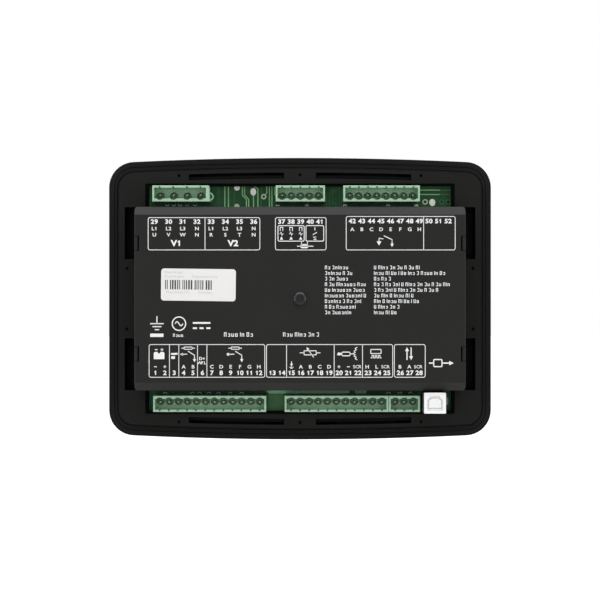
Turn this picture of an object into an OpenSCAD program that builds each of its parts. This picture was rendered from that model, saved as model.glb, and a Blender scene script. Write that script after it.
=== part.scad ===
// Generating-set controller for panel mounting, millimetres.
// +X is right and +Z is up as seen from behind; the front looks along +Y.
// The origin is the middle of the panel cut-out, on the face that seats against the panel.

/* [Bezel] */
// Width of the bezel flange
bezel_w = 216; // [208:1:226]
// Height of the bezel flange at its middle
bezel_h = 159.3; // [153:0.1:171]
// Corner radius of the bezel
bezel_r = 14.4; // [11:0.1:18]
// Radius of the bowed top and bottom edges
bow_r = 1950; // [1450:10:3600]
// Depth of the bezel in front of the panel
bezel_d = 8.5; // [8.5:0.1:11]
// Rounding of the front edge
crown_r = 3.2; // [2:0.1:4.5]
// Rounding of the rear edge
heel_r = 0.9; // [0.5:0.1:1.2]
// Thickness of the front wall
front_wall = 2.2; // [2:0.1:2.6]
// Distance of the seal groove from the bezel's edge
groove_in = 3; // [2.5:0.1:4]
// Width of the seal groove
groove_w = 0.5; // [0.3:0.1:1]
// Depth of the seal groove
groove_d = 0.4; // [0.3:0.1:1]

/* [Rear case] */
// Width of the case behind the panel
case_w = 203.4; // [202:0.2:206]
// Height of the case behind the panel at its middle
case_h = 146.4; // [145.4:0.2:151]
// Corner radius of the case
case_r = 9.6; // [8:0.1:13]
// Depth of the case's shoulder behind the panel
case_d = 16.5; // [16.2:0.1:18]
// Wall of the case
case_wall = 2.2; // [1.8:0.1:2.6]
// Thickness of the shoulder
shoulder_t = 2; // [1.6:0.1:2.2]
// Rounding of the shoulder's edge
shoulder_r = 1.4; // [0.8:0.1:1.5]
// Depth to which the case sits in the bezel
case_seat = 1.5; // [1:0.1:2.5]

/* [Terminal windows] */
// Case edge to the window's outer edge
window_margin = 9.35; // [8.7:0.05:9.9]
// Height of a window
window_h = 13.55; // [12.9:0.05:14.2]
// Clearance of a window past the terminals
window_extra = 4.55; // [3.6:0.05:5]
// Thickness of the skirt that runs down to the board
skirt_t = 1.2; // [0.8:0.1:1.4]

/* [Clip pockets] */
// Case edge to the pocket's outer edge
pocket_margin = 4.5; // [4:0.1:5.6]
// Lower end of a pocket above the middle line
pocket_low = 22; // [19:0.5:24]
// Case edge to the pocket's upper end
pocket_top = 22.45; // [20:0.05:25]
// Depth of a pocket below the shoulder
pocket_d = 11.5; // [10:0.1:12]
// Wall of a pocket
pocket_wall = 1.5; // [1:0.1:2]

/* [Snap slots] */
// Near end of a slot from the middle line
slot_near = 8.9; // [6:0.1:12]
// Far end of a slot from the middle line
slot_far = 61.6; // [56:0.1:63]
// Case edge to the slot
slot_in = 3.25; // [3:0.05:3.45]
// Width of a slot
slot_w = 3.25; // [2.9:0.05:3.45]
// Thickness of the bezel's snap arm
arm_t = 1.5; // [1.2:0.1:1.8]
// Diameter of the small blind holes in the shoulder
dimple_d = 1.7; // [1:0.1:2]
// Depth of the small blind holes
dimple_depth = 1.2; // [0.6:0.1:1.4]

/* [Cover] */
// Width of the cover
cover_w = 180.7; // [174:0.1:183]
// Depth of the cover's label face behind the panel
cover_d = 32; // [31:0.1:36]
// Wall of the cover
cover_wall = 2.2; // [1.8:0.1:2.6]
// Rounding of the label face's left and right edges
cover_edge_r = 1; // [0.6:0.1:1.4]
// Rounding of the cover's upright corners
cover_corner_r = 1.4; // [1:0.1:1.7]
// Chamfer along the top and bottom of the cover
cover_chamfer = 4.55; // [3:0.05:6]
// Height of a snap tongue's middle above the middle line
tongue_z = 30.2; // [29:0.1:38]
// Width of a snap tongue
tongue_w = 7.5; // [5:0.1:9]
// Thickness of a snap tongue
tongue_t = 1.8; // [1.4:0.1:2]
// Gap behind a snap tongue
tongue_gap = 0.8; // [0.6:0.1:1.2]
// Slit beside a snap tongue
tongue_slit = 0.35; // [0.3:0.05:0.6]
// Diameter of the cover screw's head
screw_head_d = 7.4; // [6:0.1:9]
// Height of the cover screw's head
screw_head_h = 1.3; // [1:0.1:2]
// Diameter of the cover screw's thread
screw_d = 3; // [2.5:0.1:4]

/* [Serial label] */
// Width of the label
label_w = 40.7; // [30:0.1:44]
// Height of the label
label_h = 17.5; // [12:0.1:20]
// Thickness of the label
label_t = 0.12; // [0.1:0.01:0.2]
// Place of the label's middle from the cover's left side
label_x = 35; // [31:0.1:38]
// Place of the label's middle above the middle line
label_z = 7.5; // [0:0.1:15]
// Lean of the label as it was stuck on
label_lean = -0.7; // [-3:0.1:3]

/* [Main board] */
// Depth of the main board's rear face behind the panel
board_rear = 12; // [11.5:0.1:12.5]
// Thickness of both boards
board_t = 1.6; // [1.2:0.1:2]
// Clearance between the case and the sides of the main board
board_side_gap = 4.3; // [3:0.1:5]
// Clearance between the case and the top and bottom of the main board
board_end_gap = 5.95; // [5.4:0.05:6.8]
// Diameter of the terminal pin holes
pin_hole_d = 1.6; // [1.5:0.1:2]

/* [Headers] */
// Pitch of the signal terminals
pitch = 5; // [5:0.01:5.08]
// Pitch of the voltage terminals
pitch_hv = 7.5; // [7.5:0.01:7.7]
// Height of a header above the board
header_h = 12; // [10:0.1:13]
// Width of a header across the row
header_w = 8.8; // [8.3:0.1:9.4]
// Length of a signal header past its end pins
header_end = 3.55; // [3.2:0.05:3.6]
// Length of a voltage header past its end pins
header_end_hv = 4; // [3.6:0.05:4.5]
// Scalloped wall of a header, towards the cover
header_inner_wall = 1.65; // [1.3:0.05:2]
// Plain wall of a header, away from the cover
header_outer_wall = 1.2; // [1:0.05:1.4]
// End wall of a header
header_end_wall = 1; // [0.8:0.1:1.2]
// Floor of a header
header_floor = 4.6; // [4.2:0.1:5]
// Depth of a pin's well below that floor
well_d = 3.2; // [2:0.1:3.6]
// Radius of a scallop
scallop_r = 2.3; // [1.8:0.1:2.4]
// Depth of a scallop in its wall
scallop_d = 0.8; // [0.4:0.1:1]
// Width of the key groove in the plain wall
key_groove_w = 0.9; // [0.6:0.1:1.2]
// Depth of the key groove
key_groove_d = 0.6; // [0.3:0.1:0.8]
// Side of a square terminal pin
pin_side = 1; // [0.8:0.1:1]
// Header rim to the tip of a pin
pin_below_rim = 4.6; // [4.4:0.1:6]
// Offset of the pins from the header's middle, towards the cover
pin_offset = 0.75; // [0.4:0.05:1]
// Length of a pin past the front of the board
pin_tail = 1.5; // [1:0.1:2.5]

/* [USB socket] */
// Place of the socket's middle across the case
usb_x = 73.85; // [73:0.05:76]
// Width of the socket
usb_w = 12; // [11.6:0.1:12.4]
// Height of the socket
usb_h = 11.45; // [11:0.05:12]
// Depth of the socket's face behind the board
usb_d = 17; // [15:0.1:18]
// Width of the socket's mouth
usb_mouth_w = 8.45; // [8.4:0.05:8.6]
// Height of the socket's mouth
usb_mouth_h = 7.78; // [7.7:0.02:8]
// Depth of the socket's mouth
usb_mouth_d = 10; // [9:0.1:11]
// Width of the tongue that carries the contacts
usb_tongue_w = 5.6; // [5.4:0.1:5.8]
// Height of the tongue that carries the contacts
usb_tongue_h = 3.2; // [3:0.1:3.4]

/* [Keys] */
// Diameter of a key cap
key_d = 12.5; // [11:0.1:13]
// Travel of a key
key_travel = 1; // [0.6:0.1:1.2]
// Height of a key cap above the facia
key_proud = 1.4; // [1.3:0.1:2.5]
// Clearance round a key cap
key_gap = 0.3; // [0.2:0.05:0.4]
// Rim that holds a key behind the front wall
key_flange = 1.2; // [0.8:0.1:1.4]
// Thickness of that rim
key_flange_t = 1; // [0.8:0.1:1.2]
// Radius of the dome on a key cap
key_dome_r = 45; // [30:1:80]

/* [Display] */
// Width of the display window
window_glass_w = 100; // [92:1:102]
// Height of the display window
window_glass_h = 56; // [50:1:58]
// Thickness of the display window
window_glass_t = 1.2; // [0.9:0.1:1.3]
// Place of the display's middle across the front
display_x = 22; // [20:1:22]
// Place of the display's middle above the middle line
display_z = 22; // [20:1:24]
// Ledge that carries the display window
window_ledge = 3; // [2:0.1:4]
// Facia edge to the bezel's edge
facia_in = 7; // [6:0.1:9]
// Thickness of the facia sheet
facia_t = 0.35; // [0.2:0.05:0.4]
// Depth of the front of the display board behind the panel face
display_board_front = 1.2; // [1:0.1:1.4]
// Width of the display board
display_board_w = 168; // [167:1:170]
// Clearance between the snap arms and the display board
display_board_gap = 6.8; // [5:0.1:8]
// Diameter of a light pipe
pipe_d = 3; // [2.5:0.1:3.4]

/* [Hidden] */
$fn = 64;
corner_steps = 10;
bow_steps = 12;
crown_steps = 4;
heel_steps = 3;
shoulder_steps = 3;
e = 0.05;
fit = 0.15;
slip = 0.01;
seat_gap = 0.1;

// Depths, measured rearwards from the panel face
front_inner = -(bezel_d - front_wall);
facia_floor = -bezel_d + facia_t + e;
shoulder_in = case_d - shoulder_t;
pocket_floor = case_d - pocket_d;
board_front = board_rear - board_t;
display_board_rear = display_board_front + board_t;
cover_in = cover_d - cover_wall;

// Cover between the two windows
window_out = case_h / 2 - window_margin;
cover_h = 2 * (window_out - window_h);
cover_in_w = cover_w / 2 - cover_wall;
cover_in_h = cover_h / 2 - cover_wall;

// Terminal rows: middle of each header across the case, poles, voltage pitch or not, side of the case
row_shift = 0.8;
header_row = (cover_h / 2 + window_out) / 2 + row_shift;
header_x = [-49.7, 20.1, 57.45, -66, 0.2, 44.9];
headers = [
  [header_x[0], 12, false, -1], [header_x[1], 11, false, -1], [header_x[2], 3, false, -1],
  [header_x[3], 4, true, 1], [header_x[4], 5, false, 1], [header_x[5], 8, false, 1]
];
function header_pitch(h) = h[2] ? pitch_hv : pitch;
function header_tail(h) = h[2] ? header_end_hv : header_end;
function header_len(h) = (h[1] - 1) * header_pitch(h) + 2 * header_tail(h);
function pole_x(h, i) = (i - (h[1] - 1) / 2) * header_pitch(h);

// Case openings: the windows reach past the longest terminal row
row_half = max([for (h = headers) abs(h[0]) + header_len(h) / 2]);
window_half = row_half + window_extra;
sill = 3;
bay_margin = 5.8;
bay_half_w = cover_w / 2 - bay_margin;
bay_half_h = cover_h / 2 - sill;
pocket_web = 2.2;
pocket_drop = 4.4;
pocket_out = case_w / 2 - pocket_margin;
pocket_high = case_h / 2 - pocket_top;
pocket_in = cover_in_w;
pocket_step = max(pocket_in, window_half + pocket_web);
pocket_mid = cover_h / 2 - pocket_drop;
slot_end = slot_in + slot_w;

// Bare holes beside the headers, across the case and above the middle line
spare_hole_d = 1.1;
spare_holes = [
  [69.8, header_row - 3.9], [79, header_row - 3.9], [82.7, header_row - 4],
  [-20.2, header_row - 1], [-13.6, -header_row - 3.1]
];

// Boards and their keys' rows
board_w = case_w - 2 * (case_wall + board_side_gap);
board_h = case_h - 2 * (case_wall + board_end_gap);
board_corner = 2;
display_board_h = case_h - 2 * (slot_end + display_board_gap);
display_board_corner = 3;
key_edge = 10;
mode_row = key_edge - display_board_h / 2;
breaker_lift = 32;
breaker_row = mode_row + breaker_lift;

// Fixings of the boards, across the case and above the middle line
boss_d = 6;
pilot_d = 2;
fixing_hole_d = 2.8;
fixing_head_d = 4.6;
fixing_head_h = 1.6;
pilot_depth = 3.4;
fixing_spare = 0.4;
fixing_edge = 5;
fixing_end = 7;
board_fixing_x = board_w / 2 - fixing_edge;
board_fixing_z = board_h / 2 - fixing_end;
board_fixings = [for (sx = [-1, 1], level = [-1:1]) [sx * board_fixing_x, level * board_fixing_z]];

// The display board's fixings keep clear of its edge and of the clip pockets
display_fixing_edge = 4;
fixing_clear = 2.8;
display_fixing_x = min(display_board_w / 2 - display_fixing_edge,
  pocket_in - pocket_wall - fixing_head_d / 2 - fixing_clear);
display_fixing_z = display_board_h / 2 - fixing_edge;
display_fixings = [
  [display_fixing_x, display_fixing_z], [-display_fixing_x, display_fixing_z],
  [display_fixing_x, mode_row + 22], [-display_fixing_x, mode_row + 12],
  [26, mode_row + 24], [-22, mode_row + 24]
];
board_play = 0.4;

// Keys, named as they are used, across the case and above the middle line
key_step = 17;
keypad_x = -62;
keypad_z = 22;
keys = [
  ["stop", 80, mode_row], ["manual", 44, mode_row], ["auto", 8, mode_row], ["mute", -28, mode_row],
  ["start", -64, mode_row], ["breaker_open", -46, breaker_row], ["breaker_close", -78, breaker_row],
  ["up", keypad_x, keypad_z + key_step], ["down", keypad_x, keypad_z - key_step],
  ["left", keypad_x + key_step, keypad_z], ["right", keypad_x - key_step, keypad_z],
  ["enter", keypad_x, keypad_z]
];
key_flange_front = front_inner + seat_gap;
key_stem_d = 4;
key_stem_l = 1.3;
key_stem_end = key_flange_front + key_flange_t + key_stem_l;
switch_side = 6;
switch_button_d = 3.4;
switch_button_h = 0.5;
switch_top = key_stem_end + key_travel + seat_gap;

// Status lamps: one above each mode key, two beside the breaker keys and four alarms beside the display
lamp_lift = 12.5;
alarm_x = 80.5;
alarm_top = 42;
alarm_step = 13;
lamps = concat(
  [for (i = [0:4]) [keys[i][1], keys[i][2] + lamp_lift]],
  [for (i = [5:6]) [keys[i][1], keys[i][2] - lamp_lift]],
  [for (i = [0:3]) [alarm_x, alarm_top - alarm_step * i]]
);
lamp_d = 3;
lamp_gap = 0.6;
pipe_flange = 0.6;
pipe_flange_t = 0.8;
pipe_tail = 1;
pipe_end = key_flange_front + pipe_flange_t + pipe_tail;

// Display stack
lcd_gap = 0.2;
lcd_rim = 2;
lcd_frame_w = window_glass_w + 2 * lcd_rim;
lcd_frame_h = window_glass_h + 2 * lcd_rim;
lcd_front = front_inner + lcd_gap;
lcd_lip = 0.8;
lcd_corner = 1;
glass_corner = 2;
view_w = window_glass_w - 2 * window_ledge;
view_h = window_glass_h - 2 * window_ledge;

// Shapes shared by several pieces

// Draws in the plane seen from behind, with depth running rearwards
module rear() rotate([90, 0, 0]) children();

module slab(z0, z1) translate([0, 0, z0]) linear_extrude(z1 - z0) children();

module both_ways() for (sx = [0, 1], sy = [0, 1]) mirror([sx, 0, 0]) mirror([0, sy, 0]) children();

// Rectangle from two corners
module area(x0, x1, y0, y1) translate([x0, y0]) square([x1 - x0, y1 - y0]);

function bow_centre(h) = h / 2 - bow_r;
function corner_y(w, h, r) = bow_centre(h) + sqrt(pow(bow_r - r, 2) - pow(w / 2 - r, 2));

// Points of an arc; the skipped ones at each end belong to its neighbours
function arc(cx, cy, r, from, to, steps, skip) = [
  for (i = [skip:steps - skip]) let (a = from + (to - from) * i / steps) [cx + r * cos(a), cy + r * sin(a)]
];

// Rounded outline whose top and bottom are shallow arcs, drawn in by the inset
function bowed_points(w, h, r, inset) =
  let (cx = w / 2 - r, cy = corner_y(w, h, r), yc = bow_centre(h), turn = atan2(cy - yc, cx))
  concat(
    arc(cx, cy, r - inset, 0, turn, corner_steps, 0),
    arc(0, yc, bow_r - inset, turn, 180 - turn, bow_steps, 1),
    arc(-cx, cy, r - inset, 180 - turn, 180, corner_steps, 0),
    arc(-cx, -cy, r - inset, 180, 180 + turn, corner_steps, 0),
    arc(0, -yc, bow_r - inset, 180 + turn, 360 - turn, bow_steps, 1),
    arc(cx, -cy, r - inset, 360 - turn, 360, corner_steps, 0)
  );

module bowed(w, h, r, inset = 0) polygon(bowed_points(w, h, r, inset));

// Solid through that outline at several depths; each level gives the inset and the depth, rearmost last
module bowed_loft(w, h, r, levels) {
  rings = [for (level = levels) bowed_points(w, h, r, level[0])];
  n = len(rings[0]);
  last = len(levels) - 1;
  polyhedron(
    points = [for (k = [0:last]) for (p = rings[k]) [p[0], p[1], levels[k][1]]],
    faces = concat(
      [[for (i = [0:n - 1]) i]],
      [[for (i = [n - 1:-1:0]) last * n + i]],
      [for (k = [0:last - 1]) for (i = [0:n - 1])
        [k * n + i, (k + 1) * n + i, (k + 1) * n + (i + 1) % n, k * n + (i + 1) % n]]
    )
  );
}

module bezel_shape(inset = 0) bowed(bezel_w, bezel_h, bezel_r, inset);
module case_shape(inset = 0) bowed(case_w, case_h, case_r, inset);

// Band of the case's outline between two insets
module case_band(outer, inner) difference() {
  case_shape(outer);
  case_shape(inner);
}

module rounded(w, h, r) {
  square([w - 2 * r, h], center = true);
  square([w, h - 2 * r], center = true);
  for (sx = [-1, 1], sy = [-1, 1]) translate([sx * (w / 2 - r), sy * (h / 2 - r)]) circle(r);
}

module at_each(points) for (p = points) translate([p[0], p[1], 0]) children();

module key_places() for (k = keys) translate([k[1], k[2], 0]) children();

fixing_socket_d = 2;
fixing_socket_h = 0.8;

module pan_screw(head_d, head_h, shank_d, shank_l) {
  difference() {
    cylinder(d = head_d, h = head_h);
    translate([0, 0, head_h - fixing_socket_h]) cylinder(d = fixing_socket_d, h = 1, $fn = 6);
  }
  translate([0, 0, -shank_l]) cylinder(d = shank_d, h = shank_l);
}

// Front bezel and what sits in it

module bezel_body() bowed_loft(bezel_w, bezel_h, bezel_r, concat(
  [for (i = [0:crown_steps]) let (a = 90 - 90 * i / crown_steps)
    [crown_r * (1 - cos(a)), crown_r * (1 - sin(a)) - bezel_d]],
  [for (i = [0:heel_steps]) let (a = 90 * i / heel_steps)
    [heel_r * (1 - cos(a)), heel_r * (sin(a) - 1)]]
));

// Four snap arms that reach into the slots of the case, each with a long barb in the case's side wall
barb_near = 20;
barb_far = 54;
barb_front = 5;
barb_h = 2.5;
barb_reach = 1;
arm_play = 0.2;
arm_end_play = 0.5;
arm_below = 0.6;
arm_out = slot_end - arm_play - arm_t;

module snap_arms() both_ways() {
  slab(front_inner - e, case_d - arm_below) intersection() {
    case_band(arm_out, slot_end - arm_play);
    area(slot_near + arm_end_play, slot_far - arm_end_play, 0, case_h);
  }
  slab(barb_front, barb_front + barb_h) intersection() {
    case_band(case_wall - barb_reach, arm_out + e);
    area(barb_near, barb_far, 0, case_h);
  }
}

module front_bezel() color("#1f1f1f") rear() {
  difference() {
    bezel_body();
    slab(-case_seat, 1) bowed(case_w + 2 * fit, case_h + 2 * fit, case_r + fit);
    slab(front_inner, 1) case_shape(case_wall);
    slab(-bezel_d - 1, facia_floor) bezel_shape(facia_in);
    slab(-groove_d, 1) difference() {
      bezel_shape(groove_in);
      bezel_shape(groove_in + groove_w);
    }
    translate([display_x, display_z]) {
      slab(-bezel_d - 1, facia_floor + window_glass_t)
        rounded(window_glass_w + 2 * fit, window_glass_h + 2 * fit, glass_corner);
      slab(-bezel_d - 1, 0) square([view_w, view_h], center = true);
    }
    key_places() translate([0, 0, -bezel_d - 1]) cylinder(d = key_d + 2 * key_gap, h = bezel_d);
    at_each(lamps) translate([0, 0, -bezel_d - 1]) cylinder(d = pipe_d + 2 * fit, h = bezel_d);
  }
  snap_arms();
  at_each(display_fixings) difference() {
    translate([0, 0, front_inner - e]) cylinder(d = boss_d, h = display_board_front - front_inner + e);
    translate([0, 0, display_board_front - pilot_depth]) cylinder(d = pilot_d, h = pilot_depth + 1);
  }
}

module facia() color("#2b2f33") rear() difference() {
  slab(-bezel_d + e, facia_floor) bezel_shape(facia_in + fit);
  translate([display_x, display_z]) slab(-bezel_d - 1, 0) rounded(view_w, view_h, glass_corner);
  key_places() translate([0, 0, -bezel_d - 1]) cylinder(d = key_d + 2 * key_gap, h = bezel_d);
}

module display_window() color("#b8c4c8") rear() translate([display_x, display_z])
  slab(facia_floor, facia_floor + window_glass_t) rounded(window_glass_w, window_glass_h, glass_corner);

module lcd_frame() color("#b9bcbd") rear() translate([display_x, display_z]) difference() {
  slab(lcd_front, display_board_front) rounded(lcd_frame_w, lcd_frame_h, lcd_corner);
  slab(lcd_front + lcd_lip, display_board_front + 1)
    square([lcd_frame_w - 2 * lcd_lip, lcd_frame_h - 2 * lcd_lip], center = true);
  slab(lcd_front - 1, display_board_front) square([view_w, view_h], center = true);
}

module lcd_panel() color("#7f9440") rear() translate([display_x, display_z])
  slab(lcd_front + lcd_lip, display_board_front)
    square([lcd_frame_w - 2 * lcd_lip - 2 * fit, lcd_frame_h - 2 * lcd_lip - 2 * fit], center = true);

module display_board() color("#21392b") rear() difference() {
  slab(display_board_front, display_board_rear)
    rounded(display_board_w, display_board_h, display_board_corner);
  at_each(display_fixings) cylinder(d = fixing_hole_d, h = display_board_rear + 1);
}

module display_board_screws() color("#b4b4b0") rear() at_each(display_fixings)
  translate([0, 0, display_board_rear])
    pan_screw(fixing_head_d, fixing_head_h, pilot_d - 2 * slip, board_t + pilot_depth - fixing_spare);

module tact_switches() color("#3a3a3a") rear() key_places() {
  slab(switch_top + switch_button_h, display_board_front) square(switch_side, center = true);
  translate([0, 0, switch_top]) cylinder(d = switch_button_d, h = switch_button_h);
}

module status_leds() color("#d9dcc8") rear() at_each(lamps) {
  translate([0, 0, pipe_end + lamp_gap + lamp_d / 2])
    cylinder(d = lamp_d, h = display_board_front - pipe_end - lamp_gap - lamp_d / 2);
  translate([0, 0, pipe_end + lamp_gap + lamp_d / 2]) sphere(d = lamp_d);
}

module led_lenses() color("#dfe6e6") rear() at_each(lamps) {
  translate([0, 0, facia_floor]) cylinder(d = pipe_d, h = pipe_end - facia_floor);
  translate([0, 0, key_flange_front]) cylinder(d = pipe_d + 2 * pipe_flange, h = pipe_flange_t);
}

// Push key: a domed cap, a rim that stays behind the front wall and a stem above its switch
module key_cap(index, shade) color(shade) rear() translate([keys[index][1], keys[index][2], 0]) {
  key_top = -bezel_d - key_proud;
  intersection() {
    translate([0, 0, key_top]) cylinder(d = key_d, h = key_flange_front - key_top + e);
    translate([0, 0, key_top + key_dome_r]) sphere(r = key_dome_r, $fn = 256);
  }
  translate([0, 0, key_flange_front]) cylinder(d = key_d + 2 * key_flange, h = key_flange_t);
  translate([0, 0, key_flange_front]) cylinder(d = key_stem_d, h = key_stem_end - key_flange_front);
}

module key_stop() key_cap(0, "#8f1f1d");
module key_manual() key_cap(1, "#33363a");
module key_auto() key_cap(2, "#33363a");
module key_mute() key_cap(3, "#33363a");
module key_start() key_cap(4, "#1f6b34");
module key_breaker_open() key_cap(5, "#33363a");
module key_breaker_close() key_cap(6, "#33363a");
module key_up() key_cap(7, "#33363a");
module key_down() key_cap(8, "#33363a");
module key_left() key_cap(9, "#33363a");
module key_right() key_cap(10, "#33363a");
module key_enter() key_cap(11, "#33363a");

// Boards and the link between them

link_x = -20;
link_z = 44;
link_w = 34;
link_h = 5.6;
link_meet = 6.4;
link_wall = 0.8;

module board_link_plug() color("#20211f") rear() translate([link_x, link_z])
  slab(display_board_rear, link_meet) square([link_w, link_h], center = true);

module board_link_socket() color("#2a2b28") rear() translate([link_x, link_z])
  slab(link_meet, board_front) square([link_w + 2 * link_wall, link_h + 2 * link_wall], center = true);

module header_places(h) mirror([0, h[3] < 0 ? 1 : 0, 0]) translate([h[0], header_row, board_rear]) children();

module main_board() color("#21392b") rear() difference() {
  slab(board_front, board_rear) difference() {
    rounded(board_w, board_h, board_corner);
    pockets(pocket_wall + board_play);
    both_ways() area(pocket_step, board_w, pocket_low - pocket_wall - board_play,
      pocket_high + pocket_wall + board_play);
  }
  at_each(board_fixings) cylinder(d = fixing_hole_d, h = board_rear + 1);
  for (h = headers) header_places(h) for (i = [0:h[1] - 1])
    translate([pole_x(h, i), -pin_offset, -board_t - 1]) cylinder(d = pin_hole_d, h = board_t + 2);
  at_each(spare_holes) cylinder(d = spare_hole_d, h = board_rear + 1);
}

module main_board_screws() color("#b4b4b0") rear() at_each(board_fixings)
  translate([0, 0, board_front]) mirror([0, 0, 1])
    pan_screw(fixing_head_d, fixing_head_h, pilot_d - 2 * slip, board_t + pilot_depth - fixing_spare);

// Pluggable terminal headers: an open trough, scalloped towards the cover and grooved on its plain side

module header_body(h) rear() header_places(h) {
  len = header_len(h);
  inner_face = -header_w / 2 + header_inner_wall;
  outer_face = header_w / 2 - header_outer_wall;
  difference() {
    slab(0, header_h) square([len, header_w], center = true);
    slab(header_floor, header_h + 1)
      area(-len / 2 + header_end_wall, len / 2 - header_end_wall, inner_face, outer_face);
    for (i = [0:h[1] - 1]) translate([pole_x(h, i), 0, 0]) {
      translate([0, inner_face - scallop_d + scallop_r, header_floor - well_d])
        cylinder(r = scallop_r, h = header_h);
      slab(header_floor, header_h + 1)
        area(-key_groove_w / 2, key_groove_w / 2, outer_face - e, outer_face + key_groove_d);
      slab(-1, header_h) translate([0, -pin_offset]) square(pin_side + 2 * slip, center = true);
    }
  }
}

pin_tip = 0.5;
pin_tip_w = 0.7;

module header_pins(h) color("#c9c6b8") rear() header_places(h) for (i = [0:h[1] - 1])
  translate([pole_x(h, i), -pin_offset, 0]) {
    slab(-board_t - pin_tail, header_h - pin_below_rim - pin_tip) square(pin_side, center = true);
    slab(header_h - pin_below_rim - pin_tip, header_h - pin_below_rim) square(pin_tip_w, center = true);
  }

header_green = "#a3c4ab";
module header_01_12() color(header_green) header_body(headers[0]);
module header_15_25() color(header_green) header_body(headers[1]);
module header_26_28() color(header_green) header_body(headers[2]);
module header_37_41() color(header_green) header_body(headers[4]);
module header_42_49() color(header_green) header_body(headers[5]);

// The voltage header has a thick end with a coding loop
lug_t = 1.2;
lug_d = 4.8;
lug_hole_d = 2.8;
lug_base = 4;
lug_h = 4;
lug_hole_shift = 0.3;
lug_z = -1.5;

module header_29_32() color(header_green) {
  header_body(headers[3]);
  rear() header_places(headers[3]) translate([header_len(headers[3]) / 2, 0, 0]) {
    slab(0, header_h)
      polygon([[-e, -header_w / 2], [lug_t, -header_w / 2], [lug_t / 2, header_w / 2], [-e, header_w / 2]]);
    slab(lug_base, lug_base + lug_h) difference() {
      translate([lug_t / 2, lug_z]) circle(d = lug_d);
      translate([lug_t / 2 + lug_hole_shift, lug_z]) circle(d = lug_hole_d);
      area(-lug_d, 0, -header_w, header_w);
    }
  }
}

module header_01_12_pins() header_pins(headers[0]);
module header_15_25_pins() header_pins(headers[1]);
module header_26_28_pins() header_pins(headers[2]);
module header_29_32_pins() header_pins(headers[3]);
module header_37_41_pins() header_pins(headers[4]);
module header_42_49_pins() header_pins(headers[5]);

// Upright square USB socket

usb_gap = 1.1;
usb_z = -(cover_h / 2 + usb_gap + usb_h / 2);
usb_corner = 2.1;
usb_edge = 0.5;
usb_tongue_drop = 1.5;
contact_w = 1;
contact_t = 0.25;
contact_drop = 0.8;

// Mouth with its two cut corners towards the cover
module usb_mouth() {
  w = usb_mouth_w / 2;
  h = usb_mouth_h / 2;
  c = usb_corner;
  polygon([[-w, -h], [w, -h], [w, h - c], [w - c, h], [c - w, h], [-w, h - c]]);
}

module usb_socket() color("#ebebeb") rear() translate([usb_x, usb_z, board_rear]) {
  difference() {
    slab(0, usb_d) rounded(usb_w, usb_h, usb_edge);
    slab(usb_d - usb_mouth_d, usb_d + 1) usb_mouth();
  }
  slab(usb_d - usb_mouth_d - e, usb_d - usb_tongue_drop) square([usb_tongue_w, usb_tongue_h], center = true);
}

module usb_contacts() color("#cfa94d") rear() translate([usb_x, usb_z, board_rear])
  for (sx = [-1, 1], sy = [0, 1]) mirror([0, sy, 0])
    translate([sx * usb_tongue_w / 4, usb_tongue_h / 2 + contact_t / 2, 0])
      slab(usb_d - usb_mouth_d, usb_d - usb_tongue_drop - contact_drop)
        square([contact_w, contact_t], center = true);

// Sheet-metal straps at the foot of the socket; the outer one has a tab
strap_t = 0.3;
strap_h = 9;
strap_in = 1;
tab_reach = 1.9;
tab_h = 3.8;
tab_lift = 0.6;

module usb_shield() color("#9a9c9b") rear() translate([usb_x, usb_z, board_rear]) {
  slab(0, strap_h) for (sx = [0, 1]) mirror([sx, 0])
    area(usb_w / 2, usb_w / 2 + strap_t, -usb_h / 2 + strap_in, usb_h / 2 - strap_in);
  slab(strap_h - strap_t, strap_h)
    area(usb_w / 2, usb_w / 2 + tab_reach, tab_lift - tab_h / 2, tab_lift + tab_h / 2);
}

// Components under the cover, placed from its inner faces

relay_size = [15.2, 18.6, 15.4];
relay_corner = 0.8;
relay_step = 18;
relay_side = 14.6;
relay_foot = 13.2;
relay_x = relay_side - cover_in_w;
relay_z = relay_foot - cover_in_h;
relay_row = [for (i = [0:3]) [relay_x + i * relay_step, relay_z]];
module relays() color("#1d3f66") rear() at_each(relay_row) slab(board_rear, board_rear + relay_size[2])
  rounded(relay_size[0], relay_size[1], relay_corner);

cap_d = 12.5;
cap_h = 15;
cap_step = 16;
cap_side = 16.6;
cap_foot = 12.2;
cap_x = cover_in_w - cap_side;
cap_z = cap_foot - cover_in_h;
cap_places = [[cap_x, cap_z], [cap_x, cap_z + cap_step], [cap_x - cap_step, cap_z]];
cap_neck_r = 0.8;
cap_neck_in = 0.5;
cap_neck_z = 1.2;
module capacitors() color("#26324a") rear() at_each(cap_places) difference() {
  translate([0, 0, board_rear]) cylinder(d = cap_d, h = cap_h);
  translate([0, 0, board_rear + cap_neck_z]) rotate_extrude()
    translate([cap_d / 2 + cap_neck_r - cap_neck_in, 0]) circle(cap_neck_r);
}

choke_d = 20;
choke_hole_d = 9;
choke_t = 8;
choke_side = 20.6;
choke_head = 18.2;
choke_x = choke_side - cover_in_w;
choke_z = cover_in_h - choke_head;
module choke() color("#5b4a2a") rear() translate([choke_x, choke_z, board_rear]) rotate_extrude()
  translate([choke_hole_d / 2, 0]) square([(choke_d - choke_hole_d) / 2, choke_t]);

varistor_d = 11;
varistor_t = 4;
varistor_step = 8;
varistor_from_choke = 20;
varistor_head = 10.2;
varistor_x = choke_x + varistor_from_choke;
varistor_z = cover_in_h - varistor_head;
varistor_places = [for (i = [0:2]) [varistor_x + i * varistor_step, varistor_z]];
module varistors() color("#2f5f8a") rear() at_each(varistor_places)
  translate([0, 0, board_rear + varistor_d / 2]) rotate([0, 90, 0])
    cylinder(d = varistor_d, h = varistor_t, center = true);

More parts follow.
